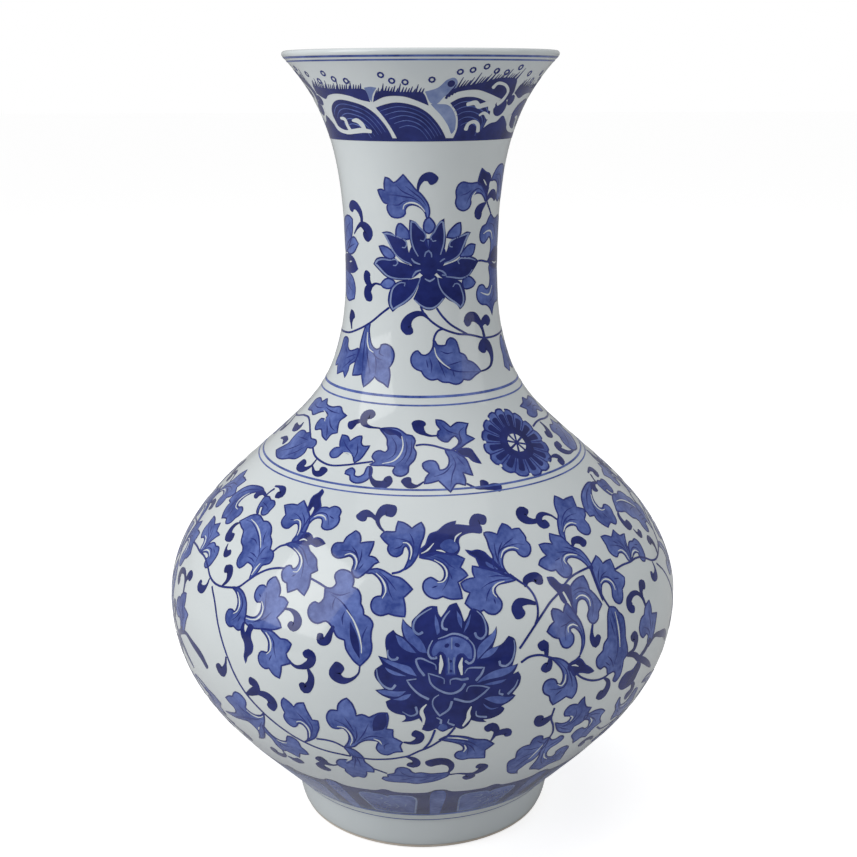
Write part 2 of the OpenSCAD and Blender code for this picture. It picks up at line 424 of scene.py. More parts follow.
def mottled(name, tint, mottle):
    material = bpy.data.materials.new(name)
    material.use_nodes = True
    nodes, links = material.node_tree.nodes, material.node_tree.links
    shader = nodes["Principled BSDF"]
    mask = nodes.new("ShaderNodeGroup")
    mask.node_tree = mottle
    for socket, key in (("Cloud size", "cloud"), ("Grain size", "grain"), ("Grain share", "share")):
        mask.inputs[socket].default_value = tint[key]
    ramp = nodes.new("ShaderNodeValToRGB")
    for stop, place, colour in zip(ramp.color_ramp.elements, ("from", "to"), ("dark", "light")):
        stop.position = tint[place]
        stop.color = tint[colour]
    links.new(mask.outputs["Mask"], ramp.inputs["Fac"])
    links.new(ramp.outputs["Color"], shader.inputs["Base Color"])
    if tint.get("bare"):
        shader.inputs["Roughness"].default_value = finish["bareRoughness"]
        return material
    shader.inputs["Roughness"].default_value = finish["roughness"]
    shader.inputs["Specular IOR Level"].default_value = finish["specular"]
    shader.inputs["Coat Weight"].default_value = finish["coatWeight"]
    shader.inputs["Coat Roughness"].default_value = finish["coatRoughness"]
    return material


# Floor, lights and camera; the floor and the backdrop are brighter to the camera than to the vase
studio = {
    "floorSize": 30.0, "floorColour": (0.62, 0.62, 0.62, 1), "floorRoughness": 0.9, "floorShine": 0.1,
    "floorGlow": 0.74, "white": (1.0, 1.0, 1.0, 1), "daylight": 0.39, "backdrop": 0.61,
    "lightsAimAt": (0, 0, 0.2),
    "camera": (0.0, -0.63825, 0.3668), "pitch": 75.17, "yaw": -0.33, "roll": 0.15, "lens": 55.35,
    "sensor": 36,
}
lamps = {
    "keyLeft": {"at": (-1.2, -0.7, 1.0), "width": 1.0, "height": 1.3, "power": 14},
    "fillRight": {"at": (1.3, -0.5, 0.7), "width": 0.7, "height": 1.0, "power": 2.5},
    "skyTop": {"at": (0.0, 0.2, 1.8), "width": 1.6, "height": 1.6, "power": 7},
}


def addLamp(name, lamp):
    deselectAll()
    bpy.ops.object.light_add(type="AREA", location=lamp["at"])
    obj = bpy.context.active_object
    obj.name = name
    obj.data.shape = "RECTANGLE"
    obj.data.size = lamp["width"]
    obj.data.size_y = lamp["height"]
    obj.data.energy = lamp["power"]
    toTarget = Vector(studio["lightsAimAt"]) - Vector(lamp["at"])
    obj.rotation_euler = toTarget.to_track_quat("-Z", "Y").to_euler()


def glowToCamera(tree, strength, glow, plain):
    # What the camera sees gets glow added to its plain strength
    seen = tree.nodes.new("ShaderNodeLightPath")
    total = tree.nodes.new("ShaderNodeMath")
    total.operation = "MULTIPLY_ADD"
    total.inputs[1].default_value = glow
    total.inputs[2].default_value = plain
    tree.links.new(seen.outputs["Is Camera Ray"], total.inputs[0])
    tree.links.new(total.outputs["Value"], strength)


def addStage():
    bpy.context.scene.view_settings.view_transform = "Standard"
    deselectAll()
    bpy.ops.mesh.primitive_plane_add(size=studio["floorSize"], location=(0, 0, 0))
    floor = bpy.context.active_object
    floor.name = "studioFloor"
    paper = bpy.data.materials.new("floorPaper")
    paper.use_nodes = True
    shader = paper.node_tree.nodes["Principled BSDF"]
    shader.inputs["Base Color"].default_value = studio["floorColour"]
    shader.inputs["Roughness"].default_value = studio["floorRoughness"]
    shader.inputs["Specular IOR Level"].default_value = studio["floorShine"]
    shader.inputs["Emission Color"].default_value = studio["white"]
    glowToCamera(paper.node_tree, shader.inputs["Emission Strength"], studio["floorGlow"], 0)
    floor.data.materials.append(paper)
    world = bpy.data.worlds.new("studioWorld")
    world.use_nodes = True
    air = world.node_tree.nodes["Background"]
    air.inputs["Color"].default_value = studio["white"]
    glowToCamera(world.node_tree, air.inputs["Strength"], studio["backdrop"], studio["daylight"])
    bpy.context.scene.world = world
    for name, lamp in lamps.items():
        addLamp(name, lamp)


def addCamera():
    deselectAll()
    bpy.ops.object.camera_add(location=studio["camera"])
    camera = bpy.context.active_object
    camera.name = "frontCamera"
    camera.data.lens = studio["lens"]
    camera.data.sensor_width = studio["sensor"]
    camera.rotation_mode = "XYZ"
    camera.rotation_euler = [math.radians(studio[turn]) for turn in ("pitch", "roll", "yaw")]
    bpy.context.scene.camera = camera


# Painting: each band of the vase has one layer for every tone
rise = brush["rise"]


def newBand():
    return {tone: newLayer() for tone in ("pale", "wash", "deep", "line", "white")}


def paintLeaf(band, leaf, turns):
    tone = leaf.get("tone", "wash")
    fillShape(band[tone], leaf["edge"], rise[tone], turns)
    stroke(band["line"], leaf["edge"], [brush["outline"]], rise["line"], turns, closed=True)
    for edge in leaf.get("patches", []):
        fillShape(band["wash"], edge, rise["line"], turns)
    for edge in leaf.get("darks", []):
        fillShape(band["deep"], edge, rise["deep"], turns)
    for points in leaf.get("veins", []):
        stroke(band["line"], points, [0.1, brush["vein"], 0.1], rise["line"], turns)
    for points in leaf.get("lights", []):
        stroke(band["white"], points, [0.3, brush["light"], 0.3], rise["white"], turns)


def paintStrokes(band, commas, stems, turns):
    for points, widths in commas:
        fuller = [w * brush["fuller"] if w > 2 else w for w in widths]
        stroke(band["deep"], points, fuller, rise["deep"], turns)
    for points in stems:
        stroke(band["line"], points, [brush["stem"]], rise["line"], turns)


def roundBand(layer, height, wide):
    s = float(np.interp(height, walk[:, 1], walked))
    left = [(turn, s + wide / 2) for turn in range(0, 360, brush["ringStep"])]
    right = [(turn, s - wide / 2) for turn in range(0, 360, brush["ringStep"])]
    addRibbon(layer, left, right, True, rise["line"], (0,))


def pieces(band, name, looks):
    for tone, layer in band.items():
        if layer["spots"]:
            pieceFrom(name + tone.capitalize(), layer, looks[tone])


print("Glaze and materials")
mottle = mottleGroup()
made = {name: mottled(name, tint, mottle) for name, tint in tints.items()}
looks = {tone: made["cobalt" + tone.capitalize()] for tone in ("pale", "wash", "deep", "line")}
looks["white"] = made["clearGlaze"]
for name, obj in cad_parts.items():
    look = "clearGlaze" if "glaze" in name else "lutingSlip" if "slip" in name else "bareBiscuit"
    for place in obj.material_slots:
        place.material = made[look]
turnedPiece("glazeCoat", coatOutline(), made["clearGlaze"], ["outer_glaze", "inner_glaze"])

print("Belly")
bellyTurns = (0, 120, 240)
# Leaves are drawn as an edge, light lines left in reserve, and dark veins
bellyLeaves = [
    # tall flame spray at the upper left
    {"edge": [(-43.4, 213.3, 1), (-41, 214.9), (-38.9, 215.2, 1), (-37.6, 218.2, 1), (-36, 216.2),
     (-34.5, 214.2), (-33, 211.5), (-32, 208), (-31.8, 203), (-31.8, 200), (-32.5, 198), (-34.4, 197.5),
     (-34, 201), (-34.4, 204.5), (-35.5, 206.5), (-36.5, 205.8), (-37.4, 203.3), (-38.8, 202.9),
     (-40.2, 204), (-41, 206), (-40.8, 209.1, 1), (-42.2, 211.5)],
     "lights": [[(-37, 207.5), (-36.2, 208.3), (-35.3, 208.1), (-34.4, 206.5), (-33.8, 204), (-33.7, 201)]],
     "veins": [[(-38.6, 210.9), (-36.5, 210.2), (-34.5, 207.8), (-33.2, 203), (-33.1, 199.5)],
     [(-36, 212.4), (-34, 209.3), (-32.8, 204)], [(-38.4, 207.3), (-37.3, 208)]]},
    {"edge": [(-33.4, 225.6, 1), (-32.4, 224.2), (-32.6, 221.6), (-31.6, 218.8), (-30.8, 216.8),
     (-31.6, 213.5), (-32.6, 210.2, 1), (-32.3, 213.5), (-32.6, 216), (-33.5, 216.6), (-34, 213),
     (-34.7, 214.2, 1), (-34.9, 216.5), (-35.3, 219.3), (-35.1, 221.5), (-34, 223.3)],
     "tone": "deep"},
    {"edge": [(-32.8, 209.8, 1), (-31.9, 213), (-30.8, 216.2), (-28.9, 217.2), (-27.9, 216.9, 1),
     (-26.5, 218.3), (-24.8, 217.8), (-23.8, 216), (-23.9, 213.8, 1), (-23.4, 212), (-23.5, 209.5),
     (-24.8, 206.9), (-26.5, 206.2), (-27.8, 207.3), (-28.1, 209.6), (-28.8, 211.2), (-30.1, 211.2),
     (-31.3, 209.8), (-31.9, 207.4), (-32.1, 203), (-33, 203)],
     "lights": [[(-27.3, 210.8), (-28, 212.2), (-29.3, 212.8), (-30.6, 212.4), (-31.4, 211.2)]],
     "veins": [[(-26, 208.7), (-26.8, 211.5), (-28, 213.8), (-30.3, 213.7), (-31.9, 211.2), (-32.6, 207)],
     [(-25.1, 212), (-26.8, 213.2)]]},
    {"edge": [(-25, 199.6, 1), (-26.3, 201.2), (-27.7, 201.7), (-28.8, 200.9, 1), (-29.5, 202.2),
     (-30.8, 203.2), (-31.9, 202.5), (-32.6, 200), (-33, 197.6), (-31.5, 197.5), (-29.5, 197.6),
     (-28.8, 198.4), (-27, 197.6), (-26, 198.6)],
     "lights": [[(-32.3, 198.8), (-31.3, 199.9), (-30.2, 199.5)]], "tone": "deep"},
    {"edge": [(-36, 195.7, 1), (-34.3, 197.3), (-33, 198.2), (-31, 198), (-29.5, 197.3), (-28.3, 195),
     (-27.2, 193.8), (-25.8, 191.8), (-25.2, 189), (-24.6, 186.9, 1), (-26, 185, 1), (-25.7, 182),
     (-25.6, 179), (-26.1, 175, 1), (-28.2, 177.3, 1), (-30.3, 174.9, 1), (-31.2, 178.8, 1), (-32.4, 179.5),
     (-33.5, 183), (-32.9, 186), (-31.8, 186.8), (-31, 185.5), (-30.3, 186.2), (-29.9, 188.5), (-30.3, 191),
     (-31.6, 193.2), (-33.3, 194.6)],
     "lights": [[(-30.6, 184.3), (-29.6, 184.6), (-29.2, 186.5), (-29.3, 189.3), (-30.2, 191.9),
     (-31.5, 193.6), (-33, 194.9)]],
     "veins": [[(-28.1, 181.8), (-28.3, 186), (-29.2, 190.5), (-31, 194.3), (-33.5, 196)], [(-27.3, 188.3),
     (-28.6, 191.5), (-30.5, 195.3), (-33, 197)], [(-30.6, 182), (-29.7, 183.4)]]},
    # large scalloped leaf at the left, and the buds above it
    {"edge": [(-56, 198, 1), (-54.5, 200.5), (-53.2, 202.8), (-51.5, 204.3), (-49.5, 204.5),
     (-47, 202.8, 1), (-45.5, 203.3), (-43.5, 202), (-42.2, 199.5), (-41.7, 197.3, 1), (-40.3, 195),
     (-39.6, 191.4, 1), (-38.4, 190.8), (-37.6, 188.5), (-37.8, 185.5), (-39.7, 183.3), (-40, 181),
     (-40.6, 178.5), (-41.7, 175.5, 1), (-41.8, 178.5), (-42.1, 181.3), (-43.3, 182.4), (-44.5, 182.5),
     (-45, 180.8), (-46.1, 178.9), (-47.4, 179.8), (-48.1, 182.5), (-47.9, 186.3, 1), (-48.6, 188.3),
     (-50.2, 190), (-51.2, 193), (-51.9, 195), (-53.5, 196)],
     "lights": [[(-51.8, 201.3), (-49, 200.2), (-46.5, 198), (-44.2, 194.5), (-42.7, 190.8)], [(-40.5, 184),
     (-41.1, 181), (-41.5, 178)]],
     "veins": [[(-54, 200), (-50.5, 200), (-46, 196.2), (-43.8, 192.3), (-42.2, 188), (-41.9, 182)],
     [(-47.8, 193.3), (-45.8, 193.2), (-44.3, 191.6)], [(-45.5, 187.3), (-43.8, 186.9), (-42.3, 185.8)],
     [(-43.8, 199), (-43.5, 196), (-42.5, 192.5)], [(-40.8, 192.5), (-41.6, 190.5), (-41.9, 187)],
     [(-45.4, 185), (-43.5, 184.6), (-42.2, 183.4)], [(-38.8, 187.5), (-41, 186.2)]]},
    {"edge": [(-53.3, 213.8), (-51.5, 214.6), (-49.8, 213.4), (-48.4, 213.7), (-47, 212), (-47.3, 208.5, 1),
     (-47.4, 207), (-48.4, 205.4), (-49.7, 205.6), (-50.5, 207.5), (-51, 209), (-52, 208.6), (-51.7, 207),
     (-50.8, 204.6), (-51.9, 205.5), (-53, 208.5), (-53.3, 211.5)],
     "veins": [[(-48.7, 209.3), (-50.5, 210.4), (-52.6, 211)]]},
    # leaf that climbs from the fork at the left
    {"edge": [(-34.6, 180.3, 1), (-33.2, 178), (-32.2, 175), (-32.1, 172.3, 1), (-30.8, 172.4),
     (-29.5, 170.7, 1), (-29.8, 168), (-31.3, 163.2, 1), (-30.4, 161.5), (-29.8, 159.5, 1), (-31.3, 158),
     (-34, 157), (-37, 156), (-39.3, 157.5), (-39.4, 160), (-38, 160.2), (-36.8, 160.8), (-35.9, 163),
     (-35.8, 166), (-36.2, 168), (-37.3, 167.4), (-38.4, 169.2), (-38.6, 172), (-38.1, 174.5),
     (-36.9, 175.3), (-36.1, 174.8, 1), (-36.2, 177.5), (-35.3, 179.7)],
     "lights": [[(-36.1, 168.2), (-35.3, 166), (-35.3, 162.8), (-36.2, 160.3), (-37.8, 159.3),
     (-39.1, 159.2)]],
     "veins": [[(-35.6, 172.7), (-35.2, 169.5), (-34.7, 165), (-35.2, 161.3), (-36.8, 158.7), (-38.8, 158)],
     [(-32.9, 165), (-34.2, 161.7), (-36, 159.2)], [(-37.4, 171.2), (-36.6, 169.9)]]},
    # upper spray in the middle
    {"edge": [(-17.8, 207.7, 1), (-16.6, 206.5), (-15.9, 204), (-15.8, 202, 1), (-14, 202.8),
     (-12.3, 203.2, 1), (-12.4, 201), (-13, 196.3, 1), (-11.5, 195.8), (-10.3, 193.7, 1), (-11.3, 192.7),
     (-12, 190.8), (-13, 188.6), (-14.6, 185.9), (-15.6, 186.4), (-16.4, 189.2), (-16.2, 192),
     (-16.7, 194.5), (-17.8, 195.4), (-19, 194.5), (-20.5, 193.8), (-22, 195), (-22.8, 198), (-22.3, 200.5),
     (-20.2, 201.3, 1), (-19.8, 204), (-18.8, 206)],
     "lights": [[(-18.9, 195.6), (-17.7, 196.6), (-16.4, 195.5), (-15.6, 193), (-15.7, 189.5)]],
     "veins": [[(-20.1, 197.5), (-18, 197.9), (-16.2, 196.6), (-15.2, 193), (-15.4, 188.5)],
     [(-17.8, 200.2), (-16.5, 198), (-15.3, 194.5)], [(-15, 199.2), (-14.8, 195.5), (-15.2, 191)],
     [(-13.9, 192.5), (-14.8, 189.5)]]},
    {"edge": [(-10.9, 206, 1), (-10, 208.2), (-8, 208.4), (-7.1, 208.6, 1), (-7, 211), (-6.7, 213.7, 1),
     (-5, 213), (-3.6, 211.5), (-2.8, 210.4, 1), (-1.5, 212.2), (-0.3, 213.4, 1), (0.5, 210.5), (0.4, 207),
     (-0.5, 202.5), (-0.9, 199), (-1.5, 196.3), (-2.6, 193), (-4.4, 190.3, 1), (-3.8, 193), (-3.3, 196),
     (-3.3, 199.5), (-4.1, 201.8), (-4.7, 201), (-5, 198.2), (-6.2, 196.6), (-7.7, 197.4), (-8.6, 200),
     (-8.5, 202, 1), (-9.7, 203.8)],
     "lights": [[(-4.9, 203.3), (-4, 203.3), (-3, 201.5), (-2.7, 198.5), (-3, 195.5)]],
     "veins": [[(-6.9, 205.4), (-5, 204.8), (-3.4, 203.8), (-2.3, 200.5), (-2.4, 197), (-3.1, 193.3)],
     [(-3.4, 208), (-2.5, 205), (-2, 200.5)], [(-7.1, 200), (-5.4, 201.4), (-4.8, 203)]]},
    {"edge": [(-12.3, 190, 1), (-10.5, 190.7), (-9, 190), (-6.8, 187.7, 1), (-5, 187), (-3.6, 185),
     (-2.2, 182.1, 1), (-4.1, 178.3, 1), (-3.8, 176), (-3.6, 172.5), (-3.7, 170.2, 1), (-5.5, 170.5),
     (-7.1, 171.3, 1), (-8.7, 170.3), (-10.2, 171.5), (-10.9, 174.5), (-10.5, 177.5), (-9.6, 178.5),
     (-8.9, 178.7), (-8.7, 181), (-9, 184), (-10.2, 187), (-11.5, 188.5), (-12.8, 188.3)],
     "lights": [[(-8.6, 177.8), (-8, 180.5), (-8.3, 183.5), (-9.2, 186.3), (-10.6, 188.6)]],
     "veins": [[(-6.2, 177), (-7.3, 181), (-7.9, 184.5), (-9.3, 187.5), (-11.2, 189.6)], [(-5.7, 181.3),
     (-6.8, 184), (-8.2, 186.8), (-10, 189.3)]]},
    # dark leaf that trails to the right, and the leaf below it
    {"edge": [(-0.7, 196.6, 1), (-0.3, 200.5), (0.8, 202.3), (1.3, 205), (2, 207.5), (4, 208.8), (5.5, 211),
     (7, 212.5), (9.2, 213.4, 1), (8.6, 211.7, 1), (10.5, 211.3), (13, 210.5), (15.5, 211), (15.5, 207),
     (13, 207.5), (11, 207), (9.4, 205.3), (9, 203), (9.1, 200.5), (8.5, 198), (7, 197.3), (5.5, 198),
     (3.5, 198.3), (1.5, 197)],
     "lights": [[(-0.3, 198.3), (1, 199.5), (2.8, 203)], [(3.4, 199.7), (4.5, 199.4), (5.5, 198.6)],
     [(8.1, 203.5), (8.6, 205.7), (10.2, 207.6)]], "tone": "deep",
     "patches": [[(4.3, 201.5), (5.5, 204.2), (7.4, 204.6), (8.7, 202.3), (8.7, 199.7), (7.5, 198.1),
     (5.8, 199)]]},
    {"edge": [(-0.7, 196.3, 1), (1, 198), (3, 198.4), (5, 198), (7.3, 197.8), (10, 195.2, 1),
     (8.7, 191.3, 1), (9.6, 189.5), (10.2, 187.5, 1), (9, 186), (7.8, 184.7, 1), (8.2, 181.5),
     (8.4, 177.5, 1), (6, 177.5), (4.3, 178.8, 1), (2.8, 177.9), (1.2, 179), (0.1, 182), (0.3, 185.5),
     (1.8, 187.3), (2.8, 186.3), (3.7, 185.2), (4.6, 186.3), (5, 188.5), (4.8, 191), (3.6, 193.8),
     (2, 195.3)],
     "lights": [[(3.3, 185), (4.5, 185.2), (5.4, 187.5), (5.4, 190.5), (4.6, 193), (2.8, 195.2)]],
     "veins": [[(4.2, 181.3), (5, 183.5), (5.9, 187.5), (5.8, 191), (4.3, 194.5), (1.5, 196.8)],
     [(7.6, 190.8), (6.3, 192.5), (4.8, 195.5), (2.3, 197.2)], [(6.6, 186), (6.2, 189)], [(2, 182.7),
     (3.3, 183.5)]]},
]
bellyCommas = [
    ([(-55.5, 197.4), (-56.7, 195.5), (-57, 192.3), (-56.2, 189.4), (-54.6, 189.7)], [0.8, 2.2, 3, 4.4,
     4.2]),
    ([(-54.5, 186.3), (-54.1, 183.7), (-53, 182), (-52, 183.3)], [0.6, 1.6, 3.4, 2.8]),
    ([(-49.2, 168.4), (-48.3, 171), (-48.2, 174), (-49.1, 176.6), (-50.4, 175.9)], [1, 2, 3.2, 3.8, 3.4]),
    ([(-54.7, 168.3), (-54.8, 165), (-56, 162.2), (-57.8, 162.6), (-57.7, 164.9)], [0.8, 1.6, 3.6, 3.6,
     2.2]),
    ([(-52.5, 220.5), (-50, 221), (-48, 220), (-47.5, 217.7), (-48.9, 216.9)], [1, 1.5, 3, 4, 3.2]),
    ([(-53.2, 214.2), (-55, 215), (-57, 213.8), (-57.4, 212.2)], [1.4, 2, 3.2, 4]),
    ([(-52, 219), (-53, 216.3), (-53.3, 213.8)], [1.2, 1, 1.2]),
    ([(-30, 167.8), (-28.3, 167.8), (-26.8, 166), (-26.2, 163), (-27, 160.8), (-27.9, 161.8)], [0.9, 1.4,
     2.4, 3.6, 3.8, 2.8]),
    ([(-10.2, 208.4), (-11.5, 210.5), (-12.5, 213.7), (-12.3, 216.6), (-11, 219), (-8.6, 218.7)], [0.8, 1.4,
     2, 3.2, 5.4, 5.6]),
    ([(-12.6, 213.9), (-14.5, 216), (-16.5, 216.5), (-17.3, 214.4)], [1.6, 2, 3.6, 5]),
    ([(-18.3, 163.8), (-18.8, 160.5), (-19.4, 157.4), (-20.6, 157.3), (-20.8, 159.6)], [1.6, 2.2, 3.2, 3.4,
     2.6]),
]
bellyStems = [
    [(-60, 174.7), (-57.5, 172.5), (-54.7, 169.2), (-52, 167.8), (-49.5, 167.9), (-46.5, 169.2),
     (-44, 170.8), (-41.8, 175.3), (-39.8, 179.3), (-37.5, 182.5), (-35, 184.3), (-33.3, 184.9)],
    [(-25.8, 183), (-23.5, 181.6), (-21.3, 179.9)],
    [(-38.4, 191), (-37.2, 194), (-35, 196)],
    [(-6.9, 188.9), (-5.3, 189.7), (-3.8, 191.6)],
]
